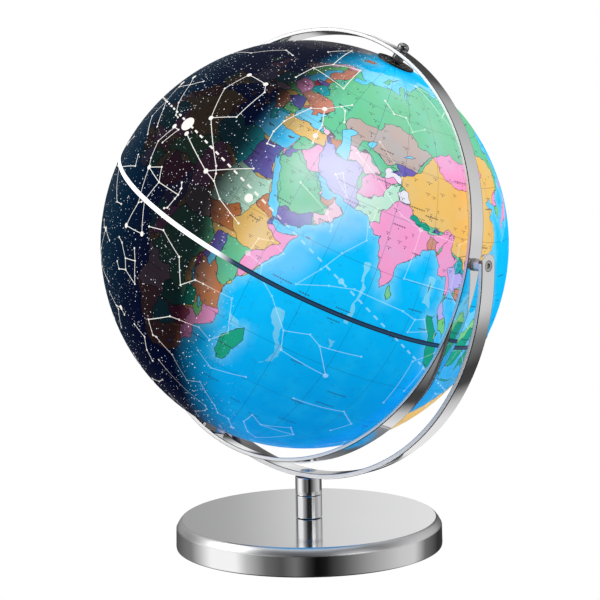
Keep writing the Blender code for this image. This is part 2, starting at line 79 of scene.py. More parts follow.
@dataclass(frozen=True)
class Axis:
    """A line that round pieces are turned about, with a chosen sideways direction."""

    origin: Vector
    up: Vector
    side: Vector

    @property
    def place(self) -> Matrix:
        """The matrix that takes local Z to the axis and local X near the sideways direction."""
        z = self.up.normalized()
        y = z.cross(self.side).normalized()
        x = y.cross(z)
        turned = Matrix((x, y, z)).transposed().to_4x4()
        return Matrix.Translation(self.origin) @ turned

    def span(self, node: str) -> tuple[float, float, float, float]:
        """How far a CAD node reaches.

        Args:
            node: the CAD node's name.

        Returns:
            Its smallest and largest distance from the axis, then its lowest and highest place along it.
        """
        back = self.place.inverted()
        points = [back @ v.co for v in frame["nodes"][node].data.vertices]
        across = [hypot(p.x, p.y) for p in points]
        along = [p.z for p in points]
        return min(across), max(across), min(along), max(along)


X, Y, Z = Vector((1, 0, 0)), Vector((0, 1, 0)), Vector((0, 0, 1))
CENTRE = Vector(joint("ring_tilt")["pos_m"])
POLE = Vector(joint("globe_spin")["axis"]).normalized()
RING_NORMAL = POLE.cross(X).normalized()
STAND = Axis(Vector((0, 0, 0)), Z, X)
POLAR = Axis(CENTRE, POLE, RING_NORMAL.cross(POLE))
PIVOTS = {"right": Axis(CENTRE, X, Y), "left": Axis(CENTRE, -X, Y)}
YOKE_AXIS = Axis(CENTRE, Y, X)
RING_AXIS = Axis(CENTRE, RING_NORMAL, X)


# ---------------------------------------------------------------- shader maths


class Val:
    """A number that changes over a surface. Arithmetic on it adds Math nodes."""

    def __init__(self, shader: "Shader", socket: bpy.types.NodeSocket) -> None:
        """Wrap an output socket of a shader's tree."""
        self.shader = shader
        self.socket = socket

    def op(self, operation: str, *others: "Number") -> "Val":
        """Another number, from a Math node with this one as its first value."""
        return self.shader.math(operation, self, *others)

    def __add__(self, other: "Number") -> "Val":
        """This number plus another."""
        return self.op("ADD", other)

    __radd__ = __add__

    def __sub__(self, other: "Number") -> "Val":
        """This number less another."""
        return self.op("SUBTRACT", other)

    def __rsub__(self, other: "Number") -> "Val":
        """Another number less this one."""
        return self.shader.math("SUBTRACT", other, self)

    def __mul__(self, other: "Number") -> "Val":
        """This number times another."""
        return self.op("MULTIPLY", other)

    __rmul__ = __mul__

    def __truediv__(self, other: "Number") -> "Val":
        """This number over another."""
        return self.op("DIVIDE", other)

    def __pow__(self, other: "Number") -> "Val":
        """This number to a power."""
        return self.op("POWER", other)

    def ramp(self, low: float, high: float, start: float = 0.0, end: float = 1.0) -> "Val":
        """A smooth change from start to end as this number goes from low to high."""
        node = self.shader.add("ShaderNodeMapRange", {"interpolation_type": "SMOOTHSTEP"},
                               {"Value": self, "From Min": low, "From Max": high,
                                "To Min": start, "To Max": end})
        return Val(self.shader, node.outputs["Result"])


Number = Union[Val, float]


class Shader:
    """One material's node tree, built by calls."""

    def __init__(self, name: str) -> None:
        """Start a material that holds one Principled shader."""
        self.material = bpy.data.materials.new(name)
        self.material.use_nodes = True
        self.tree = self.material.node_tree
        self.principled = self.tree.nodes["Principled BSDF"]

    def add(self, kind: str, settings: dict[str, Any] | None = None,
            inputs: dict[Any, Any] | None = None) -> bpy.types.Node:
        """Add a node.

        Args:
            kind: the node's type.
            settings: its properties; "stops" holds a ramp's stops, as (place, colour) pairs.
            inputs: a value or a link for each socket, by name or number.

        Returns:
            The new node.
        """
        node = self.tree.nodes.new(kind)
        for key, value in (settings or {}).items():
            if key == "stops":
                elements = node.color_ramp.elements
                while len(elements) < len(value):
                    elements.new(0.5)
                for element, (place, colour) in zip(elements, value):
                    element.position = place
                    element.color = (*colour, 1)
            else:
                setattr(node, key, value)
        for key, value in (inputs or {}).items():
            self.plug(node.inputs[key], value)
        return node

    def plug(self, socket: bpy.types.NodeSocket, value: Any) -> None:
        """Link a value's socket to this one, or set it as a constant."""
        if isinstance(value, Val):
            value = value.socket
        if isinstance(value, bpy.types.NodeSocket):
            self.tree.links.new(value, socket)
        elif socket.type == "RGBA" and len(value) == 3:
            socket.default_value = (*value, 1)
        else:
            socket.default_value = value

    def math(self, operation: str, *values: Number) -> Val:
        """A Math node on the values."""
        node = self.add("ShaderNodeMath", {"operation": operation}, dict(enumerate(values)))
        return Val(self, node.outputs[0])

    def point(self, axis: Axis, scale: float = 1.0) -> bpy.types.NodeSocket:
        """The surface point in an axis's own frame, over a length."""
        turn = axis.place.to_euler("XYZ")
        coords = self.add("ShaderNodeTexCoord").outputs["Object"]
        node = self.add("ShaderNodeMapping", {"vector_type": "TEXTURE"},
                        {"Vector": coords, "Location": axis.origin, "Rotation": turn,
                         "Scale": (scale, scale, scale)})
        return node.outputs[0]

    def split(self, vector: bpy.types.NodeSocket) -> tuple[Val, Val, Val]:
        """A vector's three numbers."""
        node = self.add("ShaderNodeSeparateXYZ", inputs={0: vector})
        return tuple(Val(self, out) for out in node.outputs)

    def dot(self, vector: bpy.types.NodeSocket, direction: Sequence[float]) -> Val:
        """How far a vector reaches along a direction."""
        node = self.add("ShaderNodeVectorMath", {"operation": "DOT_PRODUCT"},
                        {0: vector, 1: tuple(direction)})
        return Val(self, node.outputs["Value"])

    def noise(self, vector: bpy.types.NodeSocket, scale: float, detail: float = 2.0) -> Val:
        """Soft noise from 0 to 1."""
        node = self.add("ShaderNodeTexNoise", inputs={"Vector": vector, "Scale": scale, "Detail": detail})
        return Val(self, node.outputs["Fac"])

    def turned(self, across: Val, detail: float) -> Val:
        """The fine rings that a lathe leaves, from the distance to the axis times their count."""
        return self.noise(self.add("ShaderNodeCombineXYZ", inputs={0: across}).outputs[0], 1.0, detail)

    def stretch(self, vector: bpy.types.NodeSocket, scale: Sequence[float]) -> bpy.types.NodeSocket:
        """A vector with each of its numbers scaled."""
        return self.add("ShaderNodeMapping", inputs={"Vector": vector, "Scale": tuple(scale)}).outputs[0]

    def mix(self, share: Number, first: Any, second: Any) -> bpy.types.NodeSocket:
        """A colour between two."""
        return self.add("ShaderNodeMix", {"data_type": "RGBA"}, {0: share, 6: first, 7: second}).outputs[2]

    def bump(self, height: Val, depth: float, strength: float = 1.0) -> bpy.types.NodeSocket:
        """A normal that follows a height, in metres."""
        node = self.add("ShaderNodeBump", inputs={"Height": height, "Distance": depth,
                                                  "Strength": strength})
        return node.outputs[0]

    def surface(self, **inputs: Any) -> bpy.types.Material:
        """Set the Principled shader's sockets, named with _ for a space."""
        for key, value in inputs.items():
            self.plug(self.principled.inputs[key.replace("_", " ")], value)
        return self.material


# ---------------------------------------------------------------- plain finishes


@dataclass(frozen=True)
class Metal:
    """Polished, satin or plated metal with fine scratches and a slightly uneven polish."""

    name: str
    colour: Colour
    rough: float
    spread: float = 0.05
    scratch: float = 0.4
    smear: float = 0.08
    axis: Axis = STAND

    def build(self) -> bpy.types.Material:
        """The material."""
        s = Shader(self.name)
        p = s.point(self.axis)
        cloud = s.noise(p, 45.0, 3.0)
        hairs = s.noise(s.stretch(p, (90.0, 900.0, 900.0)), 4.0, 2.0)
        tone = s.mix(cloud.ramp(0.3, 0.75) * self.smear, self.colour, (0.05, 0.05, 0.055))
        return s.surface(Base_Color=tone, Metallic=1.0,
                         Roughness=self.rough + self.spread * cloud,
                         Normal=s.bump(hairs, 2e-6 * self.scratch, 0.5))


@dataclass(frozen=True)
class Moulded:
    """Moulded plastic, rubber or foam with a fine grain."""

    name: str
    colour: Colour
    rough: float = 0.5
    grain: float = 2500.0
    depth: float = 2e-5
    mottle: float = 0.25
    through: float = 0.0

    def build(self) -> bpy.types.Material:
        """The material."""
        s = Shader(self.name)
        p = s.point(STAND)
        fine, broad = s.noise(p, self.grain, 3.0), s.noise(p, 60.0)
        darker = tuple(c * 0.7 for c in self.colour)
        s.principled.inputs["Transmission Weight"].default_value = self.through
        return s.surface(Base_Color=s.mix(broad * self.mottle, self.colour, darker),
                         Roughness=self.rough + 0.15 * (broad - 0.5),
                         Normal=s.bump(fine, self.depth, 0.6))


class Finish(Enum):
    """The plain finishes, by the record's material slots."""

    CHROME = Metal("polished_chrome", (0.90, 0.90, 0.91), 0.045)
    DARK_CHROME = Metal("dark_chrome", (0.10, 0.10, 0.11), 0.16, smear=0.2)
    SATIN = Metal("satin_chrome", (0.93, 0.93, 0.93), 0.34, scratch=0.6)
    STEEL = Metal("stem_chrome", (0.88, 0.88, 0.89), 0.05, scratch=0.6)
    ZINC = Metal("zinc_plate", (0.62, 0.62, 0.60), 0.28, 0.12, 1.0, 0.25)
    BLACK_STEEL = Metal("blackened_steel", (0.06, 0.06, 0.065), 0.45, 0.1, 1.0)
    CAST_IRON = Moulded("cast_iron", (0.05, 0.048, 0.045), 0.75, 900.0, 1.5e-4, 0.5)
    FOAM = Moulded("foam_pad", (0.03, 0.03, 0.032), 0.95, 1800.0, 1.2e-4, 0.4)
    NYLON = Moulded("nylon", (0.72, 0.70, 0.64), 0.4, through=0.1)
    BLACK_PLASTIC = Moulded("black_plastic", (0.02, 0.02, 0.021), 0.42)
    WHITE_PLASTIC = Moulded("white_plastic", (0.82, 0.81, 0.78), 0.4, through=0.05)

    def material(self) -> bpy.types.Material:
        """The finish's material, built once."""
        return bpy.data.materials.get(self.value.name) or self.value.build()


# ---------------------------------------------------------------- mesh helpers


@dataclass(frozen=True)
class Seat:
    """Where a piece belongs: the body it rides on, its material slot and the CAD nodes it replaces."""

    body: str
    slot: str
    nodes: tuple[str, ...] = ()


def show(name: str, data: Any) -> bpy.types.Object:
    """A new object that holds the data, in the scene."""
    obj = bpy.data.objects.new(name, data)
    bpy.context.scene.collection.objects.link(obj)
    return obj


def frozen(curve: bpy.types.Curve) -> bpy.types.Mesh:
    """The mesh that a curve or text makes."""
    holder = show(curve.name, curve)
    bpy.context.view_layer.update()
    mesh = bpy.data.meshes.new_from_object(holder.evaluated_get(bpy.context.evaluated_depsgraph_get()))
    bpy.data.objects.remove(holder)
    return mesh


def sleeve(inner: float, outer: float, low: float, high: float) -> list[Point]:
    """The closed profile of a plain tube."""
    return [(inner, low), (outer, low), (outer, high), (inner, high)]


def turn_profile(profile: Sequence[Point], steps: int = 96, closed: bool = True) -> bmesh.types.BMesh:
    """Spin a profile of (radius, height) points about Z.

    Args:
        profile: the points, in order.
        steps: faces round the piece.
        closed: whether the last point joins the first; a profile that ends on the axis stays open.

    Returns:
        The turned mesh, with its doubles merged.
    """
    bm = bmesh.new()
    verts = [bm.verts.new((r, 0, z)) for r, z in profile]
    ends = list(zip(verts, verts[1:])) + ([(verts[-1], verts[0])] if closed else [])
    edges = [bm.edges.new(pair) for pair in ends]
    bmesh.ops.spin(bm, geom=verts + edges, cent=(0, 0, 0), axis=(0, 0, 1), angle=2 * pi, steps=steps,
                   use_merge=True, use_duplicate=False)
    bmesh.ops.remove_doubles(bm, verts=bm.verts, dist=MERGE)
    return bm


def soften(bm: bmesh.types.BMesh, width: float) -> None:
    """Round every edge that turns by more than 30 degrees."""
    bm.normal_update()
    bmesh.ops.recalc_face_normals(bm, faces=bm.faces)
    sharp = [e for e in bm.edges if len(e.link_faces) == 2 and degrees(e.calc_face_angle(0)) > 30.0]
    bmesh.ops.bevel(bm, geom=sharp, offset=width, offset_type="OFFSET", affect="EDGES",
                    segments=3, profile=0.5, clamp_overlap=True, material=-1)


def settle(name: str, bm: bmesh.types.BMesh, place: Matrix, material: bpy.types.Material, seat: Seat,
           even: bool = True, sharp: float = 50.0) -> bpy.types.Object:
    """Turn a finished mesh into a piece of the globe.

    Args:
        name: the piece's name.
        bm: the mesh in its own frame, which is freed.
        place: where it goes.
        material: its finish.
        seat: the body, slot and replaced nodes.
        even: whether its doubles are merged, its normals recalculated and its flats kept flat.
        sharp: the angle in degrees above which an edge stays hard.

    Returns:
        The object, riding on its body.
    """
    bm.transform(place)
    if even:
        bmesh.ops.remove_doubles(bm, verts=bm.verts, dist=MERGE)
        bmesh.ops.recalc_face_normals(bm, faces=bm.faces)
    mesh = bpy.data.meshes.new(name)
    bm.to_mesh(mesh)
    bm.free()
    mesh.shade_smooth()
    mesh.set_sharp_from_angle(angle=radians(sharp))
    mesh.materials.append(material)
    piece = show(name, mesh)
    if even:
        flats = piece.modifiers.new("flats", "WEIGHTED_NORMAL")
        flats.keep_sharp = True
    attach(piece, seat.body)
    if seat.nodes:
        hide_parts(*seat.nodes)
    LOG.info("%s: %d faces on %s", name, len(mesh.polygons), seat.body)
    return piece


def cut(bm: bmesh.types.BMesh, cutters: Iterable[bmesh.types.BMesh]) -> bmesh.types.BMesh:
    """Take closed shapes away from a mesh.

    Args:
        bm: the mesh to cut, which is freed.
        cutters: the shapes to take away, which are freed.

    Returns:
        The cut mesh.
    """
    def loose(shape: bmesh.types.BMesh) -> bpy.types.Object:
        bmesh.ops.recalc_face_normals(shape, faces=shape.faces)
        mesh = bpy.data.meshes.new("blank")
        shape.to_mesh(mesh)
        shape.free()
        return show("blank", mesh)

    body, tools = loose(bm), [loose(c) for c in cutters]
    for tool in tools:
        modifier = body.modifiers.new("cut", "BOOLEAN")
        modifier.object = tool
        modifier.operation = "DIFFERENCE"
    bpy.context.view_layer.update()
    done = bmesh.new()
    done.from_object(body, bpy.context.evaluated_depsgraph_get())
    for obj in (body, *tools):
        bpy.data.objects.remove(obj)
    return done


# ---------------------------------------------------------------- the printed earth


class Tint(Enum):
    """The map's printing inks, as linear colours."""

    SEA = (0.002, 0.50, 0.97)
    SHALLOW = (0.20, 0.66, 0.93)
    GREEN = (0.15, 0.54, 0.29)
    LEAF = (0.20, 0.58, 0.20)
    JADE = (0.012, 0.33, 0.20)
    MINT = (0.50, 0.76, 0.60)
    PINK = (0.88, 0.32, 0.60)
    ROSE = (0.88, 0.55, 0.68)
    OCHRE = (0.80, 0.50, 0.14)
    LILAC = (0.50, 0.42, 0.82)
    VIOLET = (0.16, 0.12, 0.44)
    TAUPE = (0.50, 0.39, 0.36)
    SALMON = (0.62, 0.24, 0.16)
    RUST = (0.60, 0.20, 0.06)
    RED = (0.50, 0.05, 0.10)
    TEAL = (0.03, 0.40, 0.46)
    PALE = (0.78, 0.76, 0.86)
    ICE = (0.86, 0.62, 0.80)


def read_shapes(text: str) -> list[tuple[str, str]]:
    """Take a text of shapes apart.

    Args:
        text: the shapes with ";" between them; a word at the start of one holds until the next word.

    Returns:
        Each shape's word and its points.
    """
    shapes, word = [], ""
    for shape in text.split(";"):
        first, rest = shape.split(maxsplit=1)
        if first[0].isalpha():
            word, shape = first, rest
        shapes.append((word, shape))
    return shapes


# Coastlines: the ink for what no country covers, then longitude and latitude in degrees.
LANDS = read_shapes("""
GREEN -9 37,-9.4 38.8,-8.8 41,-9.2 43,-1.8 43.4,-1.2 46,-4.6 48,-1.6 48.7,-1.8 49.7,1.6 50.6,4.7 53,
8.7 54,8.2 56.5,10.5 57.7,9.6 55,12 54.2,18.5 54.7,21 55.3,21 57,24.3 57.2,23.5 59.2,30 60,23 60,21.4 61,
21.5 63,25.3 65,22.5 65.8,17.5 62.3,17.2 60.7,18.8 60,16.6 58.5,16.4 56.7,14.4 55.5,12.9 55.5,11.2 59,
8.3 58.1,5.6 58.8,5 61,10 64.2,13 66.5,15.5 68.3,19 69.8,28 71.1,33 69.4,41 67,34.5 66.6,35 64.4,
40.5 64.6,44 66,44 68,48.5 67.5,54 68.4,60.5 69.6,68.5 68.3,66.8 71,69 73,72.7 72.8,72 68,73.5 66.7,
73.8 69,75 72.5,80 72.3,87 75,104 77.7,113 75.5,109 73.7,126 73.5,129 71.2,141 72.8,160 70,170 70,
180 68.9,190 66,180 64.8,178 62.5,170.5 60,163.3 58.3,162 54.8,156.7 51,155.6 56.5,163.5 62.3,155 59.4,
143 59.3,135.2 54.7,141.3 53,140.4 48.5,135 43.5,130.7 42.3,127.5 39.6,129.4 36.5,126.5 34.3,125 38,
121.5 39,122 40.5,118 39.1,119 37.2,122.5 37.2,119.2 35,121.8 31.5,121.5 28.5,117 23.5,110.3 20.8,
106.7 20.5,105.7 19,108.9 15.3,109.3 12,105 8.6,104.9 10.2,101 12.8,100.5 13.5,99.2 9.5,103.3 4.5,
104.2 1.4,101.3 2.9,98.3 8,98.6 13,97.6 16.4,94.3 16.2,94.3 18.8,91.8 22.4,87 21.5,86.5 20,82.3 16.7,
80.2 15.3,79.8 10.4,77.5 8.1,74.9 12.9,72.8 19,72.7 21.3,70.5 20.8,69 22.3,67.2 24.7,61.6 25.2,57 26.9,
54.7 26.5,50.7 29,48 30,50.1 26.6,51.3 25.8,51.5 24.2,54 24.1,56 26,56.5 24.4,59.8 22.5,57.8 19,55.2 17.6,
52.2 15.6,45 12.8,43.3 12.8,42.6 16.6,39.2 21,35 28.2,34.8 29.5,34.2 27.8,32.5 29.9,32.4 31.2,34.3 31.3,
35.9 35,36 36.8,30.6 36.7,27.3 37.3,26.2 39.6,28.9 41,26 40.7,22.8 40.4,24 38,22.6 36.6,20.8 38.5,
19.4 41.5,15 44.5,13.7 45.6,12.4 44.8,14 42.5,18.4 40.2,16.5 39.5,15.8 38,15.6 39.8,10.3 43.6,8.8 44.4,
5 43.3,3.1 42,-.3 39.3,-2 36.8,-5.3 36.1;
OCHRE -6 36,-1 35.8,3 37,10 37.3,10 34,15 32.3,18 30.5,20 32.5,23 32.5,29 31,32.4 31.2,32.6 29.9,34 27,
37 21.5,38.5 18,39.5 15.5,43.2 12.5,43.3 11.5,45 10.5,51.3 11.9,49.5 6.5,46 2.5,41.6 -1.6,39.3 -5,39.5 -9,
40.6 -14,40 -16,35 -20,35.5 -24,33 -25.5,32 -28.8,28 -33,25.7 -34,20 -34.8,18.4 -34,17 -29.5,15.3 -27,
14.5 -23,11.8 -18,13.7 -12,12.3 -6,8.8 -.7,9.8 3.5,8.7 4.5,6 4.3,4.5 6.3,2 6.3,-3 5,-7.6 4.4,-13.2 8.7,
-16.7 12.4,-17.4 14.7,-16.5 16,-16.2 19,-17 21,-14.5 26.3,-9.7 30,-9.7 31.5;
PINK -168 65.6,-162 66.5,-166.5 68.3,-156.5 71.3,-141 69.7,-128 70,-115 68.3,-103 68,-96 68,-94 71.8,
-88 68.5,-81.5 68.5,-88 64.2,-94.5 60,-92.5 57,-82.3 55.2,-82 53,-79 51.5,-79 54.5,-76.7 57,-78 62.4,
-70 61,-67.5 58.3,-65 60,-62 57.5,-55.7 52.5,-59 50.2,-66.5 50,-64.5 48.8,-61 46,-65.8 43.6,-67 45,
-70 43.7,-70 41.7,-74 40.6,-76 37,-75.7 35.3,-81 32,-80.2 27,-80.4 25.3,-82.8 28,-84 30,-89.3 30.2,
-94 29.5,-97.5 27.5,-97.8 22.5,-94.5 18.2,-91.5 18.6,-90.4 21,-87 21.5,-88.3 16.2,-83.3 15,-83.5 11.5,
-82 9,-79.7 9.6,-77.4 8.6,-80.4 7.4,-82.9 8.3,-87.6 12.9,-94.5 16.2,-99.8 16.8,-105.6 20.4,-109.3 25.7,
-113 31,-114.8 31.7,-112.5 27.5,-109.5 23,-114.8 27.8,-117.2 32.6,-120.6 34.6,-124.3 40.4,-124.6 48.3,
-123 49.2,-130 54.5,-137.5 58.8,-146 60.8,-151.8 60,-158 57.3,-163 54.8,-157.5 58.7,-162 58.8,-165.5 62,
-161 64;
LEAF -77.4 8.6,-75.5 10.6,-72 12,-71.5 10,-68.3 11.2,-61.8 10.7,-57 6,-52.5 5,-50 0,-44.3 -2.6,-37 -4.8,
-35 -7.5,-39 -13.5,-39 -17.8,-42 -23,-48.5 -26,-50.5 -31,-53.5 -34,-58.3 -34,-57.7 -38.2,-62.2 -39,
-65 -41,-65.3 -45,-67.5 -46.3,-69 -50.5,-68.4 -52.3,-65.2 -54.7,-68 -55.6,-72 -54,-75.5 -50,-73 -41.5,
-73.6 -37.3,-71.4 -29,-70.2 -20,-76 -14,-81.2 -6,-80 -3.2,-80 .7,-77.3 4;
OCHRE 113.7 -22.5,115.7 -31.7,115 -34.2,118 -35,124 -33,131.5 -31.5,135.5 -34.8,137.8 -32.7,139.8 -36.7,
146.3 -39,150 -37.3,153.2 -31,153.5 -26,149 -20.5,146.3 -19,145.5 -15.5,142.5 -10.8,141.3 -16.5,140 -17.7,
135.5 -15,136.8 -12.2,131 -12,129.3 -14.9,127 -14,122 -18.2;
ICE -60 -63.5,-57 -63.5,-61 -68,-62 -74,-45 -78,-30 -76.5,-20 -73,0 -70,32 -69,50 -66.8,70 -69.5,95 -66.5,
140 -66.7,170 -72,165 -77,180 -78.3,-155 -77,-130 -74.3,-102 -73,-75 -73,-67 -67;
PALE -73 78.3,-58 75.5,-53 70,-53.5 65,-48 61,-43.5 60,-39 65.5,-25 70.5,-19 76,-18 80,-30 83.4,-60 82;
PINK -117 70,-105.5 69,-105 72.5,-118 71.5;
-125 72,-121 71.4,-116 73.3,-123 74.3;
-62 66.5,-66 62,-78 64.5,-73 68.3,-88 70.5,-89.5 72.5,-81 73.7,-68 70.3;
-62 82.5,-75 83,-90 81.5,-87 79,-80 76.3,-68 80.2;
-80 75.7,-95 76.8,-96 74.8,-81 74.6;
-84 65.9,-80.5 64,-86 63.6;
-59.3 47.8,-55.8 51.5,-53 47;
-128 50.7,-123.5 48.4,-125.5 48.8;
OCHRE -84.8 22,-79 22.9,-74.3 20.2,-78 20.8;
LEAF -74.4 18.4,-73 19.9,-68.5 18.6,-71.5 17.8;
SALMON -78.3 18.4,-76.3 18,-77.6 17.8;
-67.2 18.4,-65.7 18.3,-66.8 18;
OCHRE -156 20.3,-155 19.5,-155.8 19;
LILAC -61 -51.4,-58 -51.6,-60 -52.2;
OCHRE 144.7 -40.8,148.3 -41,146.8 -43.6;
PINK -5.5 50.1,1.3 51,1.7 52.6,-1.5 55,-3 58.6,-5 58.5,-5.5 55.5,-3 53.5,-4.6 52.2;
LEAF -6 52.2,-9.7 51.6,-9.8 53.8,-6 55.1;
LILAC -22.5 64,-18.7 63.4,-14 64.6,-16 66.3,-24 65.6;
SALMON 12 79,16 76.8,27 80.1,18 80.2;
GREEN 52 71,57 70.7,57 73.3,68 76.7,55 74;
142 46.6,143.5 49,142.8 54.2,142 51;
PINK 140 41.6,145.4 43.3,142 45.4;
130 31.2,132 33.6,138.5 34.7,140.5 35.4,142 39.7,141.2 41.3,139.2 38,132.7 35.5,130 33.5;
OCHRE 120.2 22.8,120.9 22,121.9 25;
108.7 19.2,110 18.5,110.8 20;
ROSE 120.3 16,120.6 18.5,122.2 18.4,121.6 15.8,124 13,121 13.7;
122 7.5,125.5 5.8,126.5 7.5,125.5 9.7;
122 11.8,125.2 12.5,125.3 10.2,122.5 9.8;
117.2 8.4,119.5 11.3,119.3 10.4;
JADE 109 1.5,111.4 2.5,115 5,117 7,119.2 5.2,117.8 1,116 -3.8,114.5 -4,110.2 -2.8;
95.3 5.6,97.5 5.2,100.3 2.8,103.5 0,106 -3,105.8 -5.8,102.2 -3.9,99 1.5;
105.2 -6.8,106 -5.9,110.8 -6.4,114.5 -7.8,110 -8.1;
119.5 -5.5,119 -3.3,120 1,125 1.6,120.3 .5,120.2 -1,123.3 -.8,121.5 -2,123 -4.5,120.8 -3;
115 -8.2,122.8 -8.2,119 -9;
LEAF 123.6 -10.3,127.2 -8.4,125 -8.9;
JADE 127.6 1.8,128.6 .6,128 -.8;
128 -3.1,130.8 -3.3,129 -3.6;
131 -.8,135 -3.3,138 -1.7,145 -4.4,147.8 -6,150.8 -10.4,144.5 -7.7,138 -8.3,132.8 -4,132.5 -2.6;
ROSE 148.5 -5.8,152.2 -4.2,150 -6.3;
LILAC 156 -7,161.5 -10.3,158 -8.8;
SALMON 164 -20.2,167 -22.3,165.5 -21.8;
LILAC 177.4 -17.6,178.6 -17.7,177.8 -18.3;
LEAF 172.8 -34.5,178.4 -37.8,175.3 -41.5,173.8 -39.3;
172.8 -40.6,174.2 -41.7,168.5 -46.6,166.5 -46;
80 9.7,81.8 7.5,80.8 6,79.9 7;
JADE 49.3 -12,50.4 -15.6,47.8 -23,47 -25,45 -25.5,43.5 -23,44.3 -17;
RUST 92.8 13.5,93 12,92.7 10.8;
LILAC 53.3 12.7,54.5 12.5,53.6 12.3;
RUST 32.4 34.9,34.5 35.6,33.6 34.8;
TEAL 23.6 35.5,26.2 35.2,24.8 34.9;
SALMON 12.5 38,15.5 38.2,15.1 36.7;
8.3 41,9.7 41,9.5 39.2,8.5 39;
LILAC 9.4 43,9.5 41.6,8.7 41.8
""")

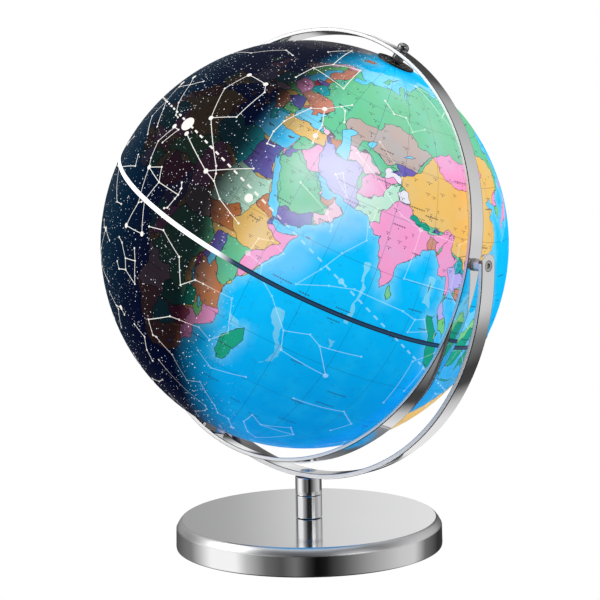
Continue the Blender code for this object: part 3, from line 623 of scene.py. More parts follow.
# Countries, the one on top first. Where one reaches past the coast, only its land is inked.
COUNTRIES = read_shapes("""
PALE 74 34.5,76 36,78 35.5,79.5 32.8,75.5 32.5;
JADE 80.3 28.8,81 30.1,84.2 28.8,88 27.9,88 26.4,84 27.4;
VIOLET 89 27,90 28.1,92 27.8,92 26.9;
SALMON 88.2 24.3,88.8 26,92.3 25,91.3 24,92.6 22,92.3 20.8,89 21.5;
PINK 68 23.5,71 24.3,70.3 27.8,73 29.8,75.5 32.5,79 32.4,81 30.1,84 27.4,88 26.4,92 26.9,95.5 29.2,
97.2 28.2,94.5 25,92.6 22,89 20,85 17,82 12,79 8,72 6,68 20;
MINT 61.5 25,63 26.8,61 29.5,66 29.7,66.5 31.2,69.4 31.8,71.5 36.3,74.8 37,75.5 32.5,73 29.8,70.3 27.8,
71 24.3,68 22;
PINK 61 29.5,60.8 34.4,64.5 37,68 37,71 38.4,74.8 37.2,71.5 36.3,69.4 31.8,66.5 31.2,66 29.7;
LILAC 44 39.5,48 39.5,50 37,54 37,57 38.2,60.5 36.5,60.6 31.5,63 26.8,61.5 25,55 26,48.3 29.8,46 33,
44.8 37.2;
ROSE 52.5 42,57 41.3,58.6 42.8,62 40,66.5 37.4,61.3 35.6,57 38.2,52 37;
GREEN 56 41.3,56 45,58.6 45.6,62 43.5,66 42,68 41,70.8 42.2,73 40.9,69.3 40.7,67.5 39.5,68.2 37,66.5 37.4,
60 42.2,58.6 42.8;
VIOLET 71 42.7,75 42.9,80.2 42.2,73.7 39.5,70 39.6,73 40.9;
PALE 67.5 39.5,69.3 40.7,73.7 39.5,74.8 37.2,68 37;
TAUPE 46.5 48.5,47 50,51 51.5,61.5 51,62 54,70 55.3,76.8 54.3,80 50.8,87.3 49.1,82.5 45.3,80.2 42.2,
71 42.7,68 41,62 43.5,58.6 45.6,56 45,56 41.3,52.5 42,48 46.3;
PINK 87.8 49.1,92 50.8,98.3 52,107 50,116.7 49.9,119.8 47,112 43.8,105 41.6,97 42.7,91 45.2;
124.3 40,128 42,130.7 42.4,131 41,128.5 38.3,124 38;
LEAF 126 37.8,128.5 38.5,131 36,127 33,125 35;
PINK 92.3 21,94.5 25,97.2 28.3,98.7 27.6,97.6 24,101 21.5,97.6 18.5,98.8 16.3,99.6 11.8,97 9,93 16;
LILAC 100 20.3,101.2 17.6,104 18.2,105.5 15,102.5 13.6,101 10,102 6.2,100 5,97 7,99.6 11.8,98.8 16.3,
97.6 18.5;
TEAL 100 20.3,102.1 22.5,104 19.3,107.5 15,105.8 14,104 18.2,101.2 17.6;
SALMON 102.5 13.6,107.5 14.5,107.4 12.3,104.4 10,102.7 11;
OCHRE 102.1 22.5,105.3 23.3,108 21.6,112 14,104 7,104.4 10.3,107.4 12.3,107.5 15,104 19.3;
LEAF 99 7,102 6.3,105.5 3,104.5 1,101 1;
109.5 2,110.5 .9,115 2.5,116 4.3,120 4.3,117 8;
OCHRE 73.5 39.5,80.2 42.2,87.8 49.1,91 45.2,97 42.7,105 41.6,112 43.8,119.8 47,116.7 49.9,120 53.3,126 53,
135 48.4,130.7 42.4,124 39.8,125 31,116 18,107.5 18,108 21.6,102.1 22.5,97.6 24,98.7 27.6,92 28,84.2 28.8,
79 32.5,74.8 37.2;
VIOLET 42.8 16.3,44 17.4,52 19,53.1 16.6,52 12,42.5 12;
ROSE 52 19,55 20,55.1 22.6,56.4 26.4,61 21,56 14;
SALMON 51.5 24.3,52.5 22.9,55.1 22.6,56.4 26.4,54 25;
ROSE 50.6 24.6,51.5 24.4,51.8 26.4;
TEAL 46.5 29,47.7 30,48.7 29.8,48.5 28.4;
PINK 38.8 33.4,42.4 37.2,44.8 37.2,46 33,48.6 29.9,44.7 29.2,42 31.2;
GREEN 35.8 32.8,36 36.8,42.4 37.2,41 34.4,36.8 32.4;
VIOLET 35 29.4,35.6 32.7,38.8 33.4,37 31.3,37.5 30;
PINK 34 31.5,35 29.5,35.6 32.7,36.3 34.6,34 34.5;
GREEN 34.9 29.3,37.5 30,37 31.3,39 32.1,44.7 29.2,48.5 28.4,52.5 22.9,55.1 22.6,52 19,44 17.4,42.8 16.3,
34 27;
OCHRE 25.6 40,28 42,38 41.6,43.6 41,44.8 39.6,44.5 37.5,36.2 36,28 35.9;
ROSE 40 43.4,46.4 41.9,46 41.2,41.5 41.5;
VIOLET 43.5 41.1,45 41.2,46.5 38.9,44.8 39.7;
RUST 45 41.2,48.6 41.9,50.5 40.4,48.9 38.4,46.5 38.9;
SALMON 22.2 48.3,24 51.6,34 52.3,40 49.6,38.2 47.1,36.6 45,34 44,28.2 45.3,30 47,27 48.3;
OCHRE 27 48.3,30 47,28.2 45.3;
VIOLET 20.3 46.1,22.5 48,27 48.3,28.2 45.3,28.6 43.7,22.5 44.5;
LEAF 22.5 44.3,28.6 43.7,28.5 42,23 41.4;
TEAL 20 39.8,23 41.4,26.3 41.7,28 36,20 36;
RUST 13.5 45.4,16.5 46.5,20.3 46.1,22.5 44.5,23 41.4,20 39.8,18 42;
OCHRE 16.3 47,18 48,22.5 48.2,18.8 45.9;
ROSE 9.6 47.4,13 48.6,17 48.5,16 46.7,10.5 46.8;
LEAF 12.3 50.2,14.8 51,22.5 49.1,17 48,13 48.7;
TEAL 6 51,7 53.7,8.5 55,14.3 54.3,14.8 51,12.3 50.2,13 47.6,7.6 47.6;
PINK 14.3 54.5,19 55,23.7 53,24 50.6,22.5 49.1,14.8 51;
SALMON 2 51.2,4.5 53.7,7 53.4,6.2 49.6;
RED 6.2 46.3,7.6 47.6,10.4 46.6,8 45.9;
LILAC -5 48.7,2 51.2,8 49,6.2 46.3,7.6 43.6,3.3 42.3,-2 43.2;
GREEN -9.8 42,-6.2 41.6,-7.2 36.8,-9.8 36.8;
OCHRE -9.8 44,3.5 42.5,0 36,-7 35.8,-9.8 42;
SALMON 6.8 45,13.7 46.5,19 40,16 37,7.4 43.6;
LILAC 8 54.8,11 54.5,13 55.5,11 58,7.8 57;
ROSE 4 58,11.3 58.9,12.3 63.7,20.5 69,31 69.6,31 72,12 70;
LEAF 11.3 58.9,12.7 55,19.5 57,19 63,24 65.8,20.5 69,12.3 63.7;
SALMON 20.5 69,24.2 65.8,20 60,27 59.8,31.5 63,29 69.8;
RED 20.8 56,26.5 55.7,23.5 54,20.5 55;
VIOLET 20.8 56,21 58,27.5 57.5,28.2 56.2;
RUST 21 58,22 59.7,28.2 59.4,27.5 57.5;
TEAL 23.7 51.6,23.5 54,28.2 56.2,32.7 53.5,31 52.1;
RUST -13 27.7,-8.7 27.7,-8.7 29,-1.2 32.3,-2 35.9,-6 37,-12 32;
ROSE -18 20.8,-13 21.3,-12 26,-8.7 27.7,-13 27.7;
SALMON 7.6 33.2,8.3 37.7,12 37.5,11.5 33,9.9 30.4;
TEAL 9.9 30.4,11.5 33.2,25 33,25 20,15.5 23.2,9.9 26.5;
VIOLET 25 32,34.3 31.3,34.4 27.5,36.8 22,25 22;
RUST 36.4 14.3,38.6 18.3,43.3 12.6,42.4 12.5;
VIOLET 42.2 12.5,43.5 12.4,43.3 11.2,42 11;
OCHRE 36.4 14.3,40 14.5,42.4 12.5,42 11,48 8,45 5,39.5 3.5,35.3 5.2,33 8;
PINK 42 11,43.3 11.3,53 13,50 4,42 -2,41 -1,41 2.8,45 5,48 8;
GREEN 34 4.2,39.5 3.5,42 4.2,41 -1,41 -3,39.3 -4.8,34 -1;
VIOLET 29.8 -1.2,34 -1,34 4.2,31 3.7;
RED 29 -2,30.5 -1.1,30.8 -3,29.5 -4.4;
RUST 30.5 -1.1,34 -1,39.3 -4.8,41 -10.6,35 -11.5,31 -8.5,29.5 -6;
LEAF 33 -9.5,34.3 -10,35.8 -15.5,35.2 -17,33 -14;
PINK 42 -10.6,35 -11.5,34.5 -14.4,30.3 -15,33 -16.5,31.3 -22.4,33 -28,40 -22;
JADE 22 -13,24 -11,29.8 -13.5,29 -8.5,33 -9.4,33 -14,27 -17.9,22 -17.5;
RED 25.3 -17.8,30.3 -15.8,33 -16.5,31.3 -22.4,29 -22.2;
TEAL 20 -22,20 -27,27 -23.7,29.3 -22.2,25.3 -17.8,21 -18.3;
SALMON 11 -17.2,25 -17.6,21 -18.3,20 -28.4,15 -29.5;
LILAC 27 -29.5,28.5 -28.6,29.4 -29.6,28 -30.6;
RUST 16 -28.6,20 -28.4,20 -25,27 -23.7,31.3 -22.4,34 -27.5,30 -36,16 -36;
ROSE 11 -5.8,16.5 -6,17.5 -8,21.8 -7.5,24 -11,22 -13,23 -17.6,10 -17.3;
GREEN 11.8 -6,17.5 -8,21.8 -7.5,24 -11,29.8 -13.5,29 -2,31.3 2.2,27.4 5,18.5 4.5,16 -3;
PINK 11 -5,16 -3,18.5 4.5,13.3 2.2,11.5 -2.3;
TEAL 8 -1,11 -4,14 0,13.3 2.2,9 2.3;
VIOLET 8 2.3,16 2,15.5 10,14.5 12.9,11.5 7,8.5 4.7;
TAUPE 15.2 6,18.5 4.5,27.4 5,22 11,15.5 7.5;
RUST 24 8.7,30 10,32.5 11.8,35.3 5.2,27.4 4.5;
MINT 25 22,36.9 22,38.6 18,36.4 14.3,33 8,24 8.7,22 12.6,24 19.8;
PINK 14 13,15.5 7.5,22 11,24 19.5,15.5 23.2;
LEAF 0 15,4.2 19,12 23.5,15.5 23.2,13.5 13.4,4 13.5,2 12;
RED 2.7 5,2.7 9,4 13.5,13.5 13.8,14.5 12.9,11.5 7,8.5 3;
OCHRE 1 11,2.5 12.5,3 5,.9 5;
GREEN -3 11,.8 11,.9 5,-3 4;
LILAC -8.5 7.5,-5.5 10.4,-3 9.7,-3 4,-7.6 4;
SALMON -5.5 10.4,-1 15,2.2 12.5,-3 9.7;
PINK -12 14.8,-5.5 15.5,-6 25,4.2 19,-4.5 13,-8 10.3;
TEAL -18 16.3,-12 14.8,-5.5 15.5,-6.5 25,-12 24.5,-13 21.3,-18 21;
VIOLET -18 16.3,-12 14.8,-11.4 12.4,-18 12;
RUST -16 11,-9 12.4,-8.5 7.5,-13.3 8;
JADE -12 7,-8.5 8.5,-7.6 4;
GREEN -141 60.3,-141 70.5,-156 73,-172 69,-170 52,-131 54,-135 59.5;
-126 48.4,-95 49,-84.5 46.5,-82.5 42,-75 45,-69.2 47.4,-67 44.8,-65 42,-79 30,-79 24.5,-90 27,-97.2 25.9,
-101.4 29.8,-106.5 31.8,-117.1 32.5,-127 40;
OCHRE -117.1 32.5,-106.5 31.8,-101.4 29.8,-97.2 25.9,-86 23,-89.2 17.8,-92.2 14.5,-107 18,-118 30;
PINK -92.2 14.5,-91 17.8,-88.5 15.7,-90 13;
LILAC -89.5 13.5,-88.5 16.5,-83 15.5,-87.5 12.6;
LEAF -87.8 12.8,-83 15,-83.5 10.9,-86 11;
ROSE -86 11,-77 9.5,-77.5 7,-84 7;
-79 1.5,-70 -4,-67 1.5,-67.6 6,-72 7.5,-71.3 12.7,-77 12,-78 7;
TEAL -72 12.7,-72 7.5,-67 1.5,-61 4.5,-59.8 9,-61 12;
SALMON -61 4.5,-59.8 9,-57 6.5,-56.5 2;
PINK -57.5 7,-54 6.5,-54 2.3,-57 2;
VIOLET -54 6.5,-51 4.2,-54 2.3;
SALMON -81.5 1.4,-75.3 0,-78.5 -4.9,-83 -3;
OCHRE -82 -3.5,-75.3 0,-70 -4.2,-73.5 -7.3,-69.5 -10.9,-69.6 -17.5,-83 -12;
LILAC -69.5 -10.9,-65.3 -10,-57.6 -18,-62.5 -22,-67 -22.8,-69.6 -17.5;
SALMON -62.5 -22,-58 -20,-54.3 -24.5,-58.6 -27;
GREEN -71 -18.3,-69 -18,-67 -22.8,-69.8 -30,-71.8 -44,-71 -52,-66 -57,-80 -50,-73 -20;
PINK -57.6 -30,-53 -32.5,-53 -36,-58.5 -34.5;
ROSE -67 -22.8,-62.5 -22,-53.7 -26,-57.6 -30,-54 -38,-60 -56,-71 -52,-69.8 -30;
141 0,141 -10,153 -12,150 0
""")

LAKES = read_shapes("""
SHALLOW 28.8 41.2,28 42.5,28.7 44,30.5 46,33 46,33.5 44.5,35.4 45.1,35 46.3,38.8 47.1,37 45.4,41.6 42,
38 41,35 42,31.3 41.2;
47 45,51.5 46.9,53 46.7,51.2 44.5,52.6 41.6,53.9 38.8,53.9 37,49.2 37.6,49.4 40.3,47.4 44.4;
58.3 44.5,59.7 46.3,61.5 46.5,60 43.8;
73.8 45.6,76.5 46.9,79 46.7,76 46;
103.8 51.5,108 53.4,109.7 55.7,108.5 52.6;
31.8 .2,34 .2,33.4 -2.6,31.8 -2;
29.3 -3.5,29.9 -4.5,31.1 -8.7,30.4 -8.2,29.2 -6;
34 -10,34.9 -14,34.3 -13;
-92 46.8,-88.5 48.6,-84.7 46.6,-87.5 46.6;
-87.8 42,-87.2 44.8,-85.2 45.8,-86.8 41.8;
-84.3 45.9,-80.2 44.8,-82 43.2,-83.3 44.6;
-83.3 41.7,-79 42.8,-82 41.5;
-79.6 43.4,-76.3 43.9,-77 43.3;
-98.8 53.5,-97 50.5,-96.4 51.5;
-117 61,-110 62.6,-114 61;
-124.5 66.3,-119 66.8,-120 65.2;
30.5 61.5,32.8 60.8,31.5 60.2
""")

SHOALS = read_shapes("""
SHALLOW 54 -4,57 -3.5,58.5 -9,61.5 -13,60.5 -18,57 -20.5,59.5 -14,56.5 -8;
72.5 8,74 7,73.8 -1,72.6 -1;
71 -5,73 -5,72.5 -8;
91.5 15,94.5 15,95 7,92 8;
44 -10,47 -11,48 -13,44.5 -13;
71 13,73 13,73 8,72 8;
-80 27,-75 26,-73 21,-78 23.5;
-56 47,-48 48,-50 42,-56 44;
160 60,165 57,180 61,172 64;
114 8,120 12,122 4,110 -5,104 3,107 9;
127 -9,142 -6,142 -12,130 -13;
20 72,45 76,70 78,60 70,40 68;
75 77,110 80,150 78,180 76,175 70,140 72
""")


@dataclass
class Projection:
    """One hemisphere laid flat about its pole, so that a coastline crosses neither a seam nor a pole."""

    sign: int
    meridian: float = 103.5
    spread: float = 3.2

    def stretch(self, lat: float) -> float:
        """The printed latitude: the gores push low latitudes a little towards the pole."""
        return lat + self.spread * tanh(lat / 6) * (1 - abs(lat) / 90)

    def flat(self, point: Point) -> Vector:
        """A longitude and latitude as a point on the flat disc, in degrees from the pole."""
        turn = radians(point[0] - self.meridian)
        out = 90 - self.sign * self.stretch(point[1])
        return Vector((out * cos(turn), out * sin(turn)))

    def ball(self, point: Vector, radius: float) -> Vector:
        """A point of the disc back on the ball, in the globe's own frame."""
        turn, down = atan2(point.y, point.x), radians(point.length)
        return Vector((sin(down) * cos(turn), sin(down) * sin(turn), self.sign * cos(down))) * radius


def read_outline(text: str) -> list[Point]:
    """The points of an outline written as longitude and latitude pairs."""
    return [tuple(float(n) for n in pair.split()) for pair in text.split(",")]


def wander(start: Point, end: Point, size: float, step: float) -> list[Point]:
    """A wandering line between two points, the same whichever way it is walked.

    Args:
        start: the first point.
        end: the last point.
        size: how far the middle strays, as a share of the length.
        step: the length in degrees under which a stretch is left straight.

    Returns:
        The line's points without the last one.
    """
    across = cos(radians((start[1] + end[1]) / 2))
    run = hypot((end[0] - start[0]) * across, end[1] - start[1])
    if run < step:
        return [start]
    key = tuple(sorted((start, end)))
    stray = random.Random(repr([[round(n, 4) for n in p] for p in key])).uniform(-size, size)
    dx, dy = key[1][0] - key[0][0], key[1][1] - key[0][1]
    middle = ((start[0] + end[0]) / 2 - stray * dy / max(across, 0.2),
              (start[1] + end[1]) / 2 + stray * dx * across)
    return wander(start, middle, size, step) + wander(middle, end, size, step)


def signed_area(points: Sequence[Vector]) -> float:
    """Twice the area inside a closed outline, positive when it runs anticlockwise."""
    return sum(a.x * b.y - b.x * a.y for a, b in zip(points, list(points[1:]) + [points[0]]))


@dataclass
class Earth:
    """The political map on one half of the globe, cut along its coasts and borders."""

    projection: Projection
    radius: float
    seam: float
    bore: float
    grid: float = 2.6
    fine: float = 1.0
    stray: float = 0.16
    shelf: float = 2.8
    past_equator: float = 8.0
    rim_steps: int = 240
    bore_steps: int = 24

    def __post_init__(self) -> None:
        """Lay out the map and cut it into triangles."""
        self.points: list[Vector] = []
        self.faces: list[list[int]] = []
        self.kinds: list[tuple[str, int]] = []
        self.rim(90 - degrees(asin(self.seam / self.radius)), self.rim_steps)
        self.rim(degrees(asin(self.bore / self.radius)), self.bore_steps)
        for kind, shapes in (("land", LANDS), ("country", COUNTRIES), ("lake", LAKES), ("shoal", SHOALS)):
            for index, (_, shape) in enumerate(shapes):
                self.outline(kind, index, shape)
        self.boxes = [self.box(face) for face in self.faces]
        self.scatter()
        self.divide()
        self.points += self.bridges()
        self.divide()

    def rim(self, out: float, steps: int) -> None:
        """Add a circle about the pole as an outline."""
        first = len(self.points)
        for i in range(steps):
            turn = 2 * pi * i / steps
            self.points.append(Vector((out * cos(turn), out * sin(turn))))
        self.faces.append(list(range(first, first + steps)))
        self.kinds.append(("rim", len(self.kinds)))

    def outline(self, kind: str, index: int, text: str) -> None:
        """Add one coast, border, lake or shoal, if any of it is on this half."""
        corners = read_outline(text)
        if all(lat * self.projection.sign < -self.past_equator for _, lat in corners):
            return
        line = [p for a, b in zip(corners, corners[1:] + corners[:1])
                for p in wander(a, b, self.stray, self.fine)]
        flat = [self.projection.flat(p) for p in line]
        if signed_area(flat) < 0:
            flat.reverse()
        first = len(self.points)
        self.points += flat
        self.faces.append(list(range(first, first + len(flat))))
        self.kinds.append((kind, index))

    def box(self, face: Sequence[int]) -> tuple[Vector, Vector]:
        """The lowest and highest corner round an outline."""
        xs, ys = [self.points[i].x for i in face], [self.points[i].y for i in face]
        return Vector((min(xs), min(ys))), Vector((max(xs), max(ys)))

    def scatter(self) -> None:
        """Add even rings of points, so that no triangle is large enough to show."""
        out = self.grid
        while out < 89:
            steps = max(8, round(360 * sin(radians(out)) / self.grid))
            for i in range(steps):
                turn = 2 * pi * (i + 0.5 * (round(out / self.grid) % 2)) / steps
                self.points.append(Vector((out * cos(turn), out * sin(turn))))
            out += self.grid

    def divide(self) -> None:
        """Cut the map into inked triangles and find the printed lines between them."""
        made = delaunay_2d_cdt(self.points, [], self.faces, 0, 1e-5, True)
        self.verts, tris = made[0], made[2]
        walls = {(min(edge), max(edge)) for edge, owners in zip(made[1], made[4]) if owners}
        sides: dict[tuple[int, int], list[int]] = defaultdict(list)
        for number, tri in enumerate(tris):
            for a, b in zip(tri, tri[1:] + tri[:1]):
                sides[min(a, b), max(a, b)].append(number)
        shown: list[Any] = [None] * len(tris)
        for patch in self.patches(len(tris), [pair for side, pair in sides.items() if side not in walls]):
            corners = [self.verts[i] for i in tris[max(patch, key=lambda t: self.size(tris[t]))]]
            ink = self.ink((corners[0] + corners[1] + corners[2]) / 3)
            for number in patch:
                shown[number] = ink
        self.cells = [(tri, ink) for tri, ink in zip(tris, shown) if ink]
        water = {"sea", "shoal"}
        self.borders, spans = [], []
        for side, pair in sides.items():
            kinds = {shown[number][0] for number in pair if shown[number]}
            (self.borders if len(kinds) == 2 and kinds != water else spans).append(side)
        ends = {i for side in self.borders for i in side}
        self.spans = [side for side in spans if ends.issuperset(side)]

    def size(self, tri: Sequence[int]) -> float:
        """Twice a triangle's area on the map."""
        return abs(signed_area([self.verts[i] for i in tri]))

    def patches(self, count: int, joined: Iterable[Sequence[int]]) -> Iterable[list[int]]:
        """Groups of triangles that no outline parts.

        Args:
            count: how many triangles there are.
            joined: the pairs that share a free side.

        Returns:
            The triangles' numbers, a group at a time.
        """
        beside = defaultdict(list)
        for pair in joined:
            if len(pair) == 2:
                beside[pair[0]].append(pair[1])
                beside[pair[1]].append(pair[0])
        seen = [False] * count
        for start in range(count):
            if seen[start]:
                continue
            seen[start] = True
            patch = [start]
            for number in patch:
                for other in beside[number]:
                    if not seen[other]:
                        seen[other] = True
                        patch.append(other)
            yield patch

    def bridges(self) -> list[Vector]:
        """The middles of the sides that would join two printed lines."""
        return [(self.verts[a] + self.verts[b]) / 2 for a, b in self.spans]

    def inside(self, place: Vector, number: int) -> bool:
        """Whether a point of the map is inside an outline."""
        low, high = self.boxes[number]
        if not (low.x <= place.x <= high.x and low.y <= place.y <= high.y):
            return False
        crossings = 0
        points = [self.points[i] for i in self.faces[number]]
        for a, b in zip(points, points[1:] + points[:1]):
            if (a.y > place.y) != (b.y > place.y):
                crossings += place.x < a.x + (place.y - a.y) / (b.y - a.y) * (b.x - a.x)
        return crossings % 2 == 1

    def ink(self, place: Vector) -> tuple[str, str] | None:
        """What the map shows at a point: its kind and ink, or None outside the half."""
        found = defaultdict(list)
        for number, (kind, index) in enumerate(self.kinds):
            if self.inside(place, number):
                found[kind].append(index)
        if found["rim"] != [0]:
            return None
        if not found["land"]:
            return ("shoal", "SHALLOW") if found["shoal"] else ("sea", "SEA")
        if found["lake"]:
            return "lake", "SHALLOW"
        if found["country"]:
            best = min(found["country"])
            return f"country {best}", COUNTRIES[best][0]
        best = min(found["land"])
        return f"land {best}", LANDS[best][0]

    def build(self, shell: float) -> bmesh.types.BMesh:
        """Make the printed half as a closed shell.

        Args:
            shell: the wall's thickness.

        Returns:
            The shell, with its ink in a corner colour layer, land in that layer's alpha, and the distance
            to the nearest printed line in a vertex layer.
        """
        bm = bmesh.new()
        inks = bm.loops.layers.float_color.new("ink")
        edge = bm.verts.layers.float.new("edge")
        verts = [bm.verts.new(self.projection.ball(p, self.radius)) for p in self.verts]
        gap = self.gauge([v.co for v in verts])
        for vert, away in zip(verts, gap):
            vert[edge] = away
        reach = radians(self.shelf) * self.radius
        for tri, (kind, name) in self.cells:
            face = bm.faces.new([verts[i] for i in tri])
            for loop, index in zip(face.loops, tri):
                tone = Tint[name].value
                if kind == "sea":
                    share = max(0.0, 1 - gap[index] / reach) ** 1.5 * 0.8
                    tone = [a + (b - a) * share for a, b in zip(tone, Tint.SHALLOW.value)]
                loop[inks] = (*tone, 0.0 if kind in ("sea", "shoal", "lake") else 1.0)
        bmesh.ops.delete(bm, geom=[v for v in bm.verts if not v.link_faces], context="VERTS")
        moved = bmesh.ops.extrude_face_region(bm, geom=bm.faces[:], use_keep_orig=True)["geom"]
        for vert in (v for v in moved if isinstance(v, bmesh.types.BMVert)):
            vert.co *= 1 - shell / self.radius
        bmesh.ops.recalc_face_normals(bm, faces=bm.faces)
        return bm

    def gauge(self, places: Sequence[Vector]) -> list[float]:
        """How far each point of the ball is from the nearest printed line."""
        ends = defaultdict(list)
        for a, b in self.borders:
            ends[a].append(b)
            ends[b].append(a)
        near = kdtree.KDTree(len(ends))
        for index in ends:
            near.insert(places[index], index)
        near.balance()
        gaps = []
        for i, place in enumerate(places):
            _, index, away = near.find(place)
            for other in () if i in ends else ends[index]:
                foot, share = intersect_point_line(place, places[index], places[other])
                if 0 < share < 1:
                    away = min(away, (place - foot).length)
            gaps.append(away)
        return gaps


# ---------------------------------------------------------------- the star figures

